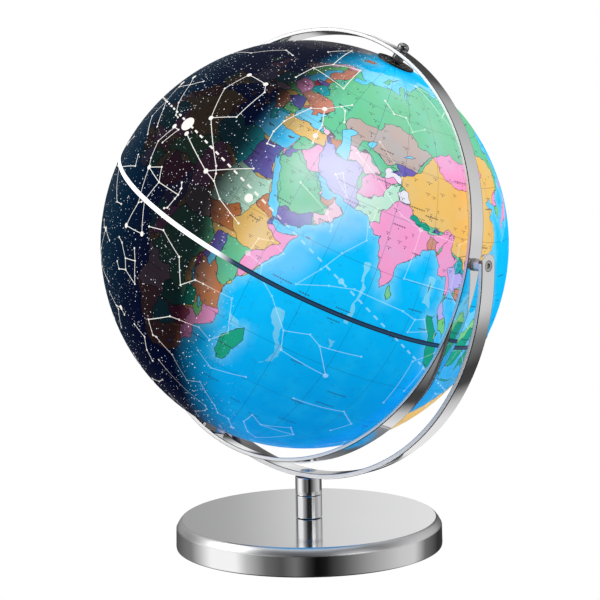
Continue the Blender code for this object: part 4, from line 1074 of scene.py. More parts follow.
# Each figure's lines, as right ascension and declination in degrees; "/" lifts the pen between strokes.
FIGURES = read_shapes("""
auriga 79.2 46,75.5 43.8,74.2 33.2,81.6 28.6,89.9 37.2,89.9 44.9,79.2 46;
perseus 56.1 32.3,58.5 31.9,59.7 35.8,59.5 40,55.7 47.8,51.1 49.9,46.2 53.5,42.7 55.9/51.1 49.9,47.4 44.9,
47 41,46.3 38.8/46.2 53.5,43.6 52.8,41 49.2;
taurus 84.4 21.1,69 16.5,64.9 15.6,60.2 12.5,51.8 9.7/64.9 15.6,65.7 17.5,67.2 19.2,81.6 28.6/69 16.5,
56.9 24.1;
orion 88.8 7.4,83.8 9.9,81.3 6.3,83 -.3,78.6 -8.2,86.9 -9.7,85.2 -1.9,88.8 7.4,81.3 6.3/85.2 -1.9,
84.1 -1.2,83 -.3/88.8 7.4,90.6 9.6,92.9 14.2,91 20.1,88.6 20.3,90.6 14.8/81.3 6.3,72.5 7,72.7 8.9,
73.7 10.2/72.5 7,72.8 5.6,73.6 2.4,74.6 1.7;
gemini 113.6 31.9,107.8 30.2,100.9 25.1,95.7 22.5,93.7 22.5/116.3 28,110 22,106 20.6,99.4 16.4/110 22,
109.5 16.5,101.3 12.9/107.8 30.2,114 26.9,116.3 28/107.8 30.2,103.2 34;
canis_minor 114.8 5.2,111.8 8.3;
monoceros 95.9 4.6,98.2 7.3/95.9 4.6,108 -.5,97.2 -7,93.7 -6.3/108 -.5,122.1 -3,115.3 -9.6;
canis_major 101.3 -16.7,95.7 -18/101.3 -16.7,105.8 -23.8,107.1 -26.4,111 -29.3/107.1 -26.4,104.7 -29,
95.1 -30.1/101.3 -16.7,104 -17.1,105.9 -15.6;
lepus 83.2 -17.8,82.1 -20.8,76.4 -22.4,78.2 -16.2,83.2 -17.8,86.7 -14.8,89.1 -14.2/82.1 -20.8,86.1 -22.4,
87.8 -20.9/78.2 -16.2,79.9 -13.2;
columba 95.5 -33.4,89.4 -35.3,84.9 -34.1,82.8 -35.5/89.4 -35.3,87.7 -35.8,89.8 -42.8;
eridanus 76.9 -5.1,71.4 -3.3,63 -6.8,59.5 -13.5,55.8 -9.8,53.2 -9.5,44.1 -8.9,41.3 -18.6,45.6 -23.6,
49.9 -21.8,56.7 -23.2,60 -24,68.4 -29.8,66 -34,64.5 -33.8,57 -36.2,49.9 -43,44.6 -40.3,36.7 -47.7,
34.1 -51.5,29 -51.6,24.4 -57.2;
fornax 48 -29,42.3 -32.4,31.1 -29.3;
caelum 76.1 -35.5,70.5 -37.1,70.1 -41.9,67.7 -45;
horologium 63.5 -42.3,40.6 -50.8,39.4 -52.5,40.2 -54.5,45.9 -59.7,44.7 -64.1;
dorado 64 -51.5,68.5 -55,76.4 -57.5,83.4 -62.5,86.2 -65.7;
pictor 102 -61.9,87.5 -56.2,86.8 -51.1;
reticulum 63.6 -62.5,56 -64.8,59.7 -61.4,64.1 -59.3,63.6 -62.5;
phoenix 6.6 -42.3,2.4 -45.7,16.5 -46.7,6.6 -42.3/16.5 -46.7,22.1 -43.3,22.8 -49.1,17.1 -55.2,10.8 -57.5,
2.4 -45.7;
cetus 45.6 4.1,40.8 3.2,39.9 .3,34.8 -3,27.9 -10.3,21 -8.2,17.1 -10.2,4.9 -8.8/17.1 -10.2,10.9 -18,
26 -15.9,27.9 -10.3/40.8 3.2,37 8.5,41.2 10.1,44.9 8.9,45.6 4.1;
sculptor 14.7 -29.4,357.2 -28.1,349.7 -32.5,353.2 -37.8;
aries 42.5 27.3,31.8 23.5,28.7 20.8,28.4 19.3;
triangulum 28.3 29.6,32.4 35,34.3 33.8,28.3 29.6;
andromeda 2.1 29.1,9.8 30.9,17.4 35.6,31 42.3/17.4 35.6,14.2 38.5,12.5 41.1,24.5 48.6;
pisces 30.5 2.8,26.3 9.2,22.9 15.3,17.9 21,19.9 27.3,17.9 30.1,18.4 24.6/30.5 2.8,22.5 6.1,15.7 7.9,
359.8 6.9,355 5.6,352 6.4,349.3 3.3,355.5 1.8,355 5.6;
pegasus 346.2 15.2,345.9 28.1,2.1 29.1,3.3 15.2,346.2 15.2,340.4 10.8,332.5 6.2,326 9.9/345.9 28.1,
340.8 30.2;
cassiopeia 2.3 59.1,10.1 56.5,14.2 60.7,21.5 60.2,28.6 63.7;
cepheus 319.6 62.6,322.2 70.6,354.8 77.6,342.4 66.2,332.7 58.2,319.6 62.6/342.4 66.2,322.2 70.6;
camelopardalis 74.3 53.8,75.9 60.4,73.5 66.3,57.6 71.3,52.3 59.9,75.9 60.4/73.5 66.3,105 77,94.7 69.3;
lynx 140.3 34.4,139.7 36.8,125.7 43.2,111.7 49.2,104.3 58.4,94.9 59;
ursa_major 206.9 49.3,201 54.9,193.5 56,183.9 57,165.9 61.8,165.5 56.4,178.5 53.7,183.9 57/165.9 61.8,
142.9 63.1,127.6 60.7,147.7 59,165.5 56.4/147.7 59,143.2 51.7,134.8 48/178.5 53.7,176.5 47.8,167.4 44.5,
155.6 41.5/176.5 47.8,169.6 33.1;
ursa_minor 38 89.3,263.1 86.6,251.5 82,236 77.8,222.7 74.2,230.2 71.8,244.4 75.8,236 77.8;
draco 172.9 69.3,188.4 69.8,211.1 64.4,231.2 59,240.5 58.6,246 61.5,257.2 65.7,275.3 72.7,288.1 67.7,
268.4 56.9,269.2 51.5,262.6 52.3,263.1 55.2,268.4 56.9;
leo 152.1 12,151.8 16.8,155 19.8,154.2 23.4,148.2 26,146.5 23.8/155 19.8,168.5 20.5,177.3 14.6,168.6 15.4,
152.1 12/168.5 20.5,168.6 15.4;
cancer 134.6 11.9,131.2 18.2,130.8 21.5,131.7 28.8/131.2 18.2,124.1 9.2;
hydra 129.4 5.7,131.7 6.4,133.8 5.9,138.6 2.3,145 -1.1,141.9 -8.7,147.9 -14.8,152.6 -12.4,156.5 -16.8,
162.4 -16.2,173.3 -31.9,178.2 -33.9,199.7 -23.2,211.6 -26.7;
virgo 201.3 -11.2,197.5 -5.5,190.4 -1.4,185 -.7,177.7 1.8/190.4 -1.4,193.9 3.4,195.5 11/197.5 -5.5,
203.7 -.6,210.4 1.5,221.6 1.9;
bootes 213.9 19.2,208.7 18.4/213.9 19.2,221.2 27.1,228.9 33.3,225.5 40.4,218 38.3,218 30.4,213.9 19.2,
220.3 13.7;
corona 233.2 31.4,232 29.1,233.7 26.7,235.7 26.3,237.4 26.1,239.4 26.9;
hercules 258.8 36.8,250.7 38.9,250.3 31.6,255.1 30.9,258.8 36.8,269.1 37.3,264.9 46/255.1 30.9,258.8 24.8,
266.6 27.7,271.9 28.8/250.3 31.6,247.6 21.5,258.7 14.4/247.6 21.5,245.5 19.2/250.7 38.9,244.9 46.3;
lyra 279.2 38.8,281.2 37.6,282.5 33.4,284.7 32.7,283.6 36.9,281.2 37.6;
cygnus 310.4 45.3,305.6 40.3,299.1 35.1,292.7 28/292.4 51.7,296.2 45.1,305.6 40.3,311.6 34,318.2 30.2;
aquila 298.8 6.4,297.7 8.9,296.6 10.6,286.4 13.9/297.7 8.9,291.4 3.1,286.6 -4.9/291.4 3.1,298.1 1,
302.8 -.8,297.7 8.9;
ophiuchus 263.7 12.6,254.4 9.4,243.6 -3.7,244.6 -4.7,249.3 -10.6,257.6 -15.7,265.9 4.6,263.7 12.6/
257.6 -15.7,269.8 -9.8;
scorpius 241.4 -19.8,240.1 -22.6,239.7 -26.1/240.1 -22.6,247.4 -26.4,249 -28.2,252.5 -34.3,253 -38,
253.6 -42.4,258 -43.2,264.3 -43,266.9 -40.1,265.6 -39,263.4 -37.1;
sagittarius 271.5 -30.4,275.2 -29.8,276 -34.4,271.5 -30.4/275.2 -29.8,277 -25.4,281.4 -27,275.2 -29.8/
281.4 -27,285.7 -29.9,276 -34.4/281.4 -27,283.8 -26.3,286.7 -27.7,285.7 -29.9;
libra 226 -25.3,222.7 -16,229.3 -9.4,233.9 -14.8,222.7 -16;
capricornus 304.5 -12.5,305.3 -14.8,311.5 -25.3,313 -26.9,321.7 -22.4,326.8 -16.1,325 -16.7,316.5 -17.2,
305.3 -14.8;
aquarius 311.9 -9.5,322.9 -5.6,331.4 -.3,335.4 -1.4,337.2 0,338.8 -.1/331.4 -.3,334.2 -7.8,343.2 -7.6,
343.7 -15.8/338.8 -.1,348.6 -6,347.4 -21.2;
grus 328.5 -37.4,337.3 -43.5,340.7 -46.9,342.1 -51.3/337.3 -43.5,332.1 -47;
centaurus 219.9 -60.8,205 -53.5,211 -60.4/205 -53.5,208.9 -47.3,211.7 -36.4/205 -53.5,190.4 -49,
182.1 -50.7;
crux 186.6 -63.1,187.8 -57.1/191.9 -59.7,183.8 -58.7;
argo 96 -52.7,125.6 -59.5,131.2 -54.7,122.4 -47.3,120.9 -40,109.3 -37.1,99.4 -43.2/125.6 -59.5,
139.3 -59.3,140.5 -55,131.2 -54.7/122.4 -47.3,137 -43.4/139.3 -59.3,160.7 -64.4,138.3 -69.7/120.9 -40,
121.9 -24.3;
corvus 182.5 -22.6,184 -17.5,187.5 -16.5,188.6 -23.4,182.5 -22.6;
hydrus 29.7 -61.6,6.4 -77.3,56.8 -74.2;
tucana 334.6 -60.3,349.4 -58.2,7.9 -63;
pavo 306.4 -56.7,311.2 -66.2,302.2 -66.2,306.4 -56.7;
triangle 252.2 -69,238.8 -63.4,229.7 -68.7,252.2 -69
""")
BRIGHT = """
79.2 46,69 16.5,88.8 7.4,78.6 -8.2,81.6 28.6,113.6 31.9,116.3 28,114.8 5.2,101.3 -16.7,51.1 49.9,47 41,
24.4 -57.2,31.8 23.5,45.6 4.1,10.9 -18,152.1 12,201.3 -11.2,213.9 19.2,279.2 38.8,310.4 45.3,297.7 8.9,
247.4 -26.4,96 -52.7,219.9 -60.8,186.6 -63.1,38 89.3,2.1 29.1,89.9 44.9,84.4 21.1,86.9 -9.7,84.9 -34.1
"""


@dataclass
class Sky:
    """The star figures, the dashed path of the sun and its discs, as raised white ink."""

    radius: float
    turn: float = 16.5
    lift: float = 0.07 * MM
    flatness: float = 0.12
    half_line: float = 0.22 * MM
    star: float = 0.62 * MM
    big_star: float = 1.45 * MM
    thick: float = 0.14 * MM
    dash: int = 3
    tilt: float = 23.44
    discs: tuple[tuple[float, float, float], ...] = (
        (87.3, 23.2, 4.2), (53, 16.8, 2.4), (91.5, 20.2, 1.5), (128, 19.0, 1.8), (20, 8.5, 1.6))

    def spot(self, point: Point) -> Vector:
        """The direction of a place in the sky, in the globe's own frame."""
        turn, rise = -radians(point[0] + self.turn), radians(point[1])
        return Vector((cos(rise) * cos(turn), cos(rise) * sin(turn), sin(rise)))

    def trace(self, start: Vector, end: Vector, trim: float) -> list[Vector]:
        """Points along the short way round between two directions, less a trim in metres at each end."""
        angle = start.angle(end)
        cut_off = trim / self.radius
        if angle < 2.2 * cut_off:
            return []
        steps = max(1, round(degrees(angle) / 2.5))
        shares = [(cut_off + (angle - 2 * cut_off) * i / steps) / angle for i in range(steps + 1)]
        return [start.slerp(end, share) * self.radius for share in shares]

    def tubes(self, runs: Sequence[Sequence[Vector]], half: float) -> bmesh.types.BMesh:
        """Closed tubes along each run of points, pressed flat on the ball."""
        curve = bpy.data.curves.new("runs", "CURVE")
        curve.dimensions = "3D"
        curve.bevel_depth = half
        curve.bevel_resolution = 1
        curve.use_fill_caps = True
        for run in runs:
            spline = curve.splines.new("POLY")
            spline.points.add(len(run) - 1)
            for place, point in zip(run, spline.points):
                point.co = (*place, 1)
        mesh = frozen(curve)
        bm = bmesh.new()
        bm.from_mesh(mesh)
        bpy.data.meshes.remove(mesh)
        for vert in bm.verts:
            high = vert.co.length - self.radius
            vert.co = vert.co.normalized() * (self.radius + self.lift + high * self.flatness)
        bmesh.ops.remove_doubles(bm, verts=bm.verts, dist=MERGE)
        return bm

    def disc(self, bm: bmesh.types.BMesh, way: Vector, radius: float, sides: int) -> None:
        """Add a thin round disc on the ball."""
        place = Matrix.Translation(way * (self.radius + self.lift))
        place = place @ way.to_track_quat("Z", "Y").to_matrix().to_4x4()
        bmesh.ops.create_cone(bm, cap_ends=True, segments=sides, radius1=radius, radius2=radius * 0.96,
                              depth=self.thick, matrix=place)

    def ecliptic(self) -> list[list[Vector]]:
        """The dashes along the sun's yearly path."""
        def place(along: float) -> Vector:
            rise = degrees(atan(tan(radians(self.tilt)) * sin(radians(along))))
            return self.spot((along, rise)) * self.radius

        return [[place(start + step * 0.5) for step in range(4)] for start in range(0, 360, self.dash)]

    def build(self, finish: bpy.types.Material) -> None:
        """Make the figures' lines, their stars, and the sun's path with its discs."""
        seat = Seat("globe", "globe_print")
        runs, stars = [], set()
        for _, figure in FIGURES:
            for stroke in figure.split("/"):
                points = read_outline(stroke)
                stars.update(points)
                for a, b in zip(points, points[1:]):
                    run = self.trace(self.spot(a), self.spot(b), self.star * 1.1)
                    if run:
                        runs.append(run)
        settle("figure_lines", self.tubes(runs, self.half_line), POLAR.place, finish, seat, even=False)
        bright = set(read_outline(BRIGHT))
        bm = bmesh.new()
        for point in sorted(stars):
            self.disc(bm, self.spot(point), self.big_star if point in bright else self.star, 14)
        settle("figure_stars", bm, POLAR.place, finish, seat, even=False)
        bm = self.tubes(self.ecliptic(), self.half_line * 2.4)
        for ra, dec, size in self.discs:
            self.disc(bm, self.spot((ra, dec)), size * MM, 40)
        settle("sun_path", bm, POLAR.place, finish, seat, even=False)


# ---------------------------------------------------------------- the globe


@dataclass
class Globe:
    """The two printed halves with the band between them, the star figures on them and the hour dial."""

    # day_way points, in the world at rest, to the half painted as lit; the other half is painted dark.
    day_way: tuple[float, float, float] = (0.928, 0.205, -0.312)
    # floor_way points, in the world at rest, to the ball's lower side, where the sea is painted darker as
    # painted shade.
    floor_way: tuple[float, float, float] = (0.12, -0.15, -0.98)
    dusk: tuple[float, float] = (-0.08, 0.25)
    printed_line: float = 0.15 * MM
    grid_line: float = 0.0011
    prime: float = radians(103.5)
    seam: float = 1.35 * MM
    steps: int = 240
    hours: int = 24

    def __post_init__(self) -> None:
        """Read the ball's size from the frame."""
        back = POLAR.place.inverted()
        reach = {node: [back @ v.co for v in frame["nodes"][node].data.vertices]
                 for node in ("north_hemisphere", "south_hemisphere")}
        self.radius = max(p.length for p in reach["north_hemisphere"])
        self.shell = self.radius - min(p.length for p in reach["north_hemisphere"])
        self.bores = {node: min(hypot(p.x, p.y) for p in points) for node, points in reach.items()}
        self.to_day = POLAR.place.to_3x3().inverted() @ Vector(self.day_way)
        self.to_floor = POLAR.place.to_3x3().inverted() @ Vector(self.floor_way)

    def build(self) -> None:
        """Make both halves, the band, the figures and the dial."""
        finish = self.print_finish()
        for node, sign in (("north_hemisphere", 1), ("south_hemisphere", -1)):
            earth = Earth(Projection(sign), self.radius, self.seam, self.bores[node])
            piece = settle("printed_" + node, earth.build(self.shell), POLAR.place, finish,
                           Seat("globe", "globe_print", (node,)), even=False)
            mesh = piece.data
            middle = self.radius - self.shell / 2
            ways = [(v.co - CENTRE) * (1 if (v.co - CENTRE).length > middle else -1)
                    for v in mesh.vertices]
            mesh.normals_split_custom_set_from_vertices([way.normalized() for way in ways])
        self.band()
        Sky(self.radius).build(self.star_finish())
        self.dial()

    def meridians(self, s: Shader, x: Val, y: Val, every: float) -> Val:
        """How far a point is from the nearest of evenly spaced meridians, over the radius."""
        around = s.math("ARCTAN2", y, x) + self.prime
        times = pi / radians(every)
        return (around * times).op("SINE").op("ABSOLUTE") * ((x * x + y * y) ** 0.5) / times

    def print_finish(self) -> bpy.types.Material:
        """The map lit from inside by day, the dark sky with its stars by night; the glow and the darkness
        are painted on fixed halves.
        """
        s = Shader("printed_globe")
        p = s.point(POLAR, self.radius)
        x, y, z = s.split(p)
        day = s.dot(p, self.to_day)
        cloud = s.noise(p, 3.2, 3.0)
        # Painted light: lit marks the half of the shell painted as lit, about day_way with a noisy edge;
        # the rest is painted dark.
        lit = (day + 0.10 * (cloud - 0.5)).ramp(*self.dusk)
        ink = s.add("ShaderNodeAttribute", {"attribute_name": "ink"})
        edge = Val(s, s.add("ShaderNodeAttribute", {"attribute_name": "edge"}).outputs["Fac"])
        land = Val(s, ink.outputs["Alpha"])
        drawn = edge.ramp(self.printed_line * 0.5, self.printed_line * 1.5, 1.0, 0.0)
        parallel = (z.op("ARCSINE") * 12.0).op("SINE").op("ABSOLUTE") / 12.0
        grid = self.meridians(s, x, y, 15.0).op("MINIMUM", parallel)
        grid = grid.ramp(self.grid_line * 0.5, self.grid_line * 1.5, 1.0, 0.0)
        towns = (self.towns(s, p, (x, y, z), 0.045, 0.006, 0.0018) * (0.35 + 0.65 * land)).op(
            "MAXIMUM", self.towns(s, p, (x, y, z), 0.15, 0.020, 0.0034) * 0.9)
        # Painted shade: the sea is painted a darker blue towards the ball's lower side, along floor_way.
        low = s.dot(p, self.to_floor)
        painted_low_shade = low.ramp(0.1, 1.0) * (1 - land)
        colour = s.mix(painted_low_shade, ink.outputs["Color"], (0.001, 0.28, 0.70))
        colour = s.mix(s.noise(p, 9.0, 4.0).ramp(0.35, 0.75) * 0.10, colour, (0.04, 0.75, 1.0))
        colour = s.mix(grid * 0.55, colour, (0.01, 0.03, 0.07))
        colour = s.mix((drawn * 0.8).op("MAXIMUM", towns), colour, (0.02, 0.02, 0.05))
        # Painted light: pale patches are painted into the map's colour.
        pale = self.gleams(s, p, cloud)
        colour = s.mix(pale, colour, (0.86, 0.93, 1.0))
        # Painted darkness on the dark half: the sea is painted near black by the lit half and teal towards
        # the far edge, and the land nearly black.
        away = day.ramp(-0.75, -0.30, 1.0, 0.0)
        sky = s.mix(away, (0.0006, 0.002, 0.016), (0.0, 0.016, 0.038))
        dark = s.mix(land * 0.025, s.mix(land * 0.8, sky, (0.002, 0.001, 0.0012)), colour)
        dark = s.mix(drawn * 0.5, dark, (0.0, 0.0, 0.001))
        dust = self.star_dust(s, p) * day.ramp(0.02, 0.30, 1.0, 0.0)
        # Painted glow: the lit half emits the map's colours, and the dark half emits its painted dark
        # tones and the star dust.
        painted_glow = s.mix(dust, s.mix(lit, dark, s.mix(0.22, colour, (0, 0, 0))), (0.85, 0.92, 1.0))
        return s.surface(Base_Color=s.mix(lit, (0.001, 0.002, 0.004), colour), Emission_Color=painted_glow,
                         Emission_Strength=1.0, Roughness=0.30 + 0.06 * cloud, IOR=1.12,
                         Specular_IOR_Level=0.12)

    def towns(self, s: Shader, p: bpy.types.NodeSocket, place: tuple[Val, Val, Val], cell: float,
              reach: float, half: float) -> Val:
        """Small black dots over the map, each with a broken stroke where a name would be.

        Args:
            s: the shader.
            p: the place on the ball, as parts of its radius.
            place: the same, as three numbers.
            cell: the usual distance between marks.
            reach: half the length of a short stroke.
            half: half the thickness of a stroke.

        Returns:
            How black the mark is, from 0 to 1.
        """
        cells = s.add("ShaderNodeTexVoronoi", {"feature": "F1"}, {"Vector": p, "Scale": 1.0 / cell})
        pick, length, _ = s.split(cells.outputs["Color"])
        cx, cy, cz = s.split(cells.outputs["Position"])
        x, y, z = place
        across = (x * x + y * y) ** 0.5
        east, north = (cx * y - cy * x) / across, (z - cz) / across
        level = (cx * cx + cy * cy + cz * cz - 1.0).op("ABSOLUTE").ramp(cell * 0.5, cell * 0.52, 1.0, 0.0)
        dot = (east * east + north * north).ramp(5e-6, 1.1e-5, 1.0, 0.0)
        letters = (east * (1.6 / half)).op("SINE").ramp(-0.8, -0.2, 0.2, 1.0)
        stroke = ((north - 4.6 * half).op("ABSOLUTE").ramp(half * 0.7, half * 1.3, 1.0, 0.0) * letters
                  * (east.op("ABSOLUTE") - (reach + 2.0 * reach * length)).ramp(0.0, 0.0006, 1.0, 0.0))
        return dot.op("MAXIMUM", stroke * 0.8) * level * pick.ramp(0.25, 0.26)

    def gleams(self, s: Shader, p: bpy.types.NodeSocket, cloud: Val) -> Val:
        """Painted light: pale patches painted into the map where the lamp shows through most."""
        total: Number = 0.0
        north = Projection(1)
        for lon, lat, size, strength in ((53, 27, 0.17, 0.42), (48, 8, 0.12, 0.14), (88, 62, 0.2, 0.16)):
            way = north.ball(north.flat((lon, lat)), 1.0)
            total = s.dot(p, way).ramp(cos(size * 1.9), 1.0) * strength + total
        return total * cloud.ramp(0.3, 0.7, 0.4, 1.3)

    def star_dust(self, s: Shader, p: bpy.types.NodeSocket) -> Val:
        """Tiny stars of mixed size, thick in some places and thin in others."""
        cells = s.add("ShaderNodeTexVoronoi", {"feature": "F1"}, {"Vector": p, "Scale": 78.0})
        first, second, _ = s.split(cells.outputs["Color"])
        thick = s.noise(p, 5.0, 2.0).ramp(0.34, 0.62, 0.66, 0.0)
        size = 0.12 + 0.18 * second ** 3.0
        spot = (size - Val(s, cells.outputs["Distance"])).ramp(0.0, 0.05)
        return spot * (first - thick).ramp(0.0, 0.02) * (0.4 + 0.6 * second)

    def star_finish(self) -> bpy.types.Material:
        """White ink with a painted glow at night, which thins out over the half painted as lit."""
        s = Shader("star_ink")
        p = s.point(POLAR, self.radius)
        # fade follows the half painted as lit; the ink's glow is painted as emission.
        fade = s.dot(p, self.to_day) - 0.42 * s.split(p)[2]
        grain = s.noise(p, 60.0)
        tone = s.mix(grain * 0.2, (1.0, 0.97, 0.90), (0.9, 0.88, 0.84))
        return s.surface(Base_Color=(0.3, 0.3, 0.3), Emission_Color=tone, Emission_Strength=0.85,
                         Roughness=0.4 + 0.1 * grain, Alpha=fade.ramp(-0.10, 0.25, 1.0, 0.14))

    def band(self) -> None:
        """The band over the joint between the halves: a painted white glow on the night half, dark on the
        day half.
        """
        inner, outer, low, high = POLAR.span("equator_ring")
        web, half = self.radius - 3.4 * MM, self.seam - 0.05 * MM
        outline = [(inner, low), (web, low), (web, -half), (outer, -half), (outer, half), (web, half),
                   (web, high), (inner, high)]
        bm = turn_profile(outline, self.steps)
        soften(bm, 0.2 * MM)
        s = Shader("equator_band")
        p = s.point(POLAR)
        _, _, z = s.split(p)
        day = s.dot(s.point(POLAR, self.radius), self.to_day)
        # Painted glow: lit is 1 on the half painted as lit, where the band is dark; the other half is
        # painted glowing white.
        lit = day.ramp(0.03, 0.17)
        rim = z.op("ABSOLUTE").ramp(0.55 * MM, 0.8 * MM)
        hue = s.mix(rim * 0.8, (0.03, 0.09, 0.20), (0.004, 0.008, 0.02))
        fine = s.noise(p, 300.0)
        white = s.mix(fine * 0.1, (1.0, 1.0, 1.0), (0.85, 0.93, 1.0))
        finish = s.surface(Base_Color=s.mix(lit, (0.8, 0.85, 0.9), hue), Roughness=0.35 + 0.1 * fine,
                           Emission_Color=s.mix(lit, white, s.mix(0.6, hue, (0, 0, 0))),
                           Emission_Strength=1.0)
        settle("equator_band", bm, POLAR.place, finish, Seat("globe", "seam", ("equator_ring",)))

    def dial(self) -> None:
        """The hour dial at the north pole: a thin dished disc with a scale and its numbers."""
        inner, outer, low, high = POLAR.span("hour_dial")
        thick = (high - low) * 0.55
        outline = [(inner, low), (outer, low), (outer, high), (outer - 0.7 * MM, high),
                   (outer - 1.1 * MM, low + thick), (inner + 1.0 * MM, low + thick),
                   (inner + 0.6 * MM, high), (inner, high)]
        bm = turn_profile(outline, 96)
        soften(bm, 0.08 * MM)
        s = Shader("dial_bronze")
        p = s.point(POLAR)
        x, y, _ = s.split(p)
        across = (x * x + y * y) ** 0.5
        turned = s.turned(across * 3000.0, 2.0)
        times = self.hours / 2.0
        tick = (s.math("ARCTAN2", y, x) * times).op("SINE").op("ABSOLUTE") * across / times
        reach = (across.ramp(outer - 2.5 * MM, outer - 2.4 * MM)
                 * across.ramp(outer - 1.2 * MM, outer - 1.1 * MM, 1, 0))
        mark = tick.ramp(0.10 * MM, 0.16 * MM, 1.0, 0.0) * reach
        for place in (outer - 2.6 * MM, inner + 1.4 * MM):
            circle = (across - place).op("ABSOLUTE").ramp(0.06 * MM, 0.12 * MM, 1.0, 0.0)
            mark = mark.op("MAXIMUM", circle)
        tone = s.mix(mark, (0.09, 0.055, 0.04), (0.72, 0.68, 0.60))
        finish = s.surface(Base_Color=tone, Metallic=1 - mark, Roughness=0.3 + 0.1 * turned,
                           Normal=s.bump(turned, 3e-6, 0.4))
        settle("hour_disc", bm, POLAR.place, finish, Seat("hour_dial", "dial", ("hour_dial",)),
               sharp=35.0)
        self.numbers((inner + outer) / 2 - 0.2 * MM, low + thick)

    def numbers(self, across: float, high: float) -> None:
        """Raised hour numbers round the dial."""
        done = bmesh.new()
        for hour in range(2, self.hours + 1, 2):
            text = bpy.data.curves.new("number", "FONT")
            text.body = str(hour)
            text.size = 2.3 * MM
            text.extrude = 0.04 * MM
            text.resolution_u = 2
            text.align_x, text.align_y = "CENTER", "CENTER"
            mesh = frozen(text)
            turn = 2 * pi * hour / self.hours
            place = Matrix.Translation((across, 0, high + 0.03 * MM))
            mesh.transform(Matrix.Rotation(turn, 4, "Z") @ place @ Matrix.Rotation(-pi / 2, 4, "Z"))
            done.from_mesh(mesh)
            bpy.data.meshes.remove(mesh)
        bmesh.ops.remove_doubles(done, verts=done.verts, dist=MERGE)
        s = Shader("dial_number_paint")
        grain = s.noise(s.point(POLAR), 900.0)
        finish = s.surface(Base_Color=s.mix(grain * 0.3, (0.78, 0.74, 0.66), (0.5, 0.46, 0.4)),
                           Roughness=0.5 + 0.1 * grain)
        settle("dial_numbers", done, POLAR.place, finish, Seat("hour_dial", "dial"), even=False)


# ---------------------------------------------------------------- stand


# Bores are turned by this much about their axis, so that no corner of one falls on an edge of a strip.
HOLE_TURN = 0.05


def hexagon(axis: Axis, node: str, edge: float) -> bmesh.types.BMesh:
    """A hexagonal bar with a round bore, of a CAD node's size.

    Args:
        axis: the line it stands on.
        node: the CAD node.
        edge: the width of its softened edges.

    Returns:
        The bar along Z, flats as the node's.
    """
    inner, corner, low, high = axis.span(node)
    bm = bmesh.new()
    bmesh.ops.create_cone(bm, cap_ends=True, segments=6, radius1=corner, radius2=corner, depth=high - low)
    bmesh.ops.translate(bm, verts=bm.verts, vec=(0, 0, (low + high) / 2))
    soften(bm, edge)
    bore = bmesh.new()
    bmesh.ops.create_cone(bore, cap_ends=True, segments=24, radius1=inner, radius2=inner,
                          depth=2 * (high - low))
    bmesh.ops.rotate(bore, verts=bore.verts, matrix=Matrix.Rotation(HOLE_TURN, 3, "Z"))
    bmesh.ops.translate(bore, verts=bore.verts, vec=(0, 0, (low + high) / 2))
    return cut(bm, [bore])


@dataclass(frozen=True)
class Maker:
    """Puts plain pieces of one body in place of its CAD nodes, about one axis."""

    body: str
    axis: Axis = STAND

    def turned(self, node: str, finish: Finish, slot: str, edge: float = 0.0, steps: int = 48,
               outline: Sequence[Point] | None = None, tag: str = "_round") -> None:
        """A tube or rod of the node's size, or one with an outline of its own.

        Args:
            node: the CAD node it replaces.
            finish: its finish.
            slot: its material slot.
            edge: the width of its softened edges, or nothing.
            steps: faces round it.
            outline: its own profile, if it is no plain tube.
            tag: what its name adds to the node's.
        """
        bm = turn_profile(outline or sleeve(*self.axis.span(node)), steps)
        if edge:
            soften(bm, edge)
        settle(node + tag, bm, self.axis.place, finish.material(), Seat(self.body, slot, (node,)))

    def rod(self, node: str, edge: float, steps: int) -> None:
        """A zinc-plated rod of the node's size."""
        _, radius, low, high = self.axis.span(node)
        bm = turn_profile([(0, low), (radius, low), (radius, high), (0, high)], steps, closed=False)
        soften(bm, edge)
        settle(node + "_round", bm, self.axis.place, Finish.ZINC.material(),
               Seat(self.body, "zinc", (node,)))

    def hexagonal(self, node: str, finish: Finish, slot: str, edge: float) -> None:
        """A hexagonal spacer or nut of the node's size."""
        settle(node + "_hex", hexagon(self.axis, node, edge), self.axis.place, finish.material(),
               Seat(self.body, slot, (node,)), sharp=20.0)


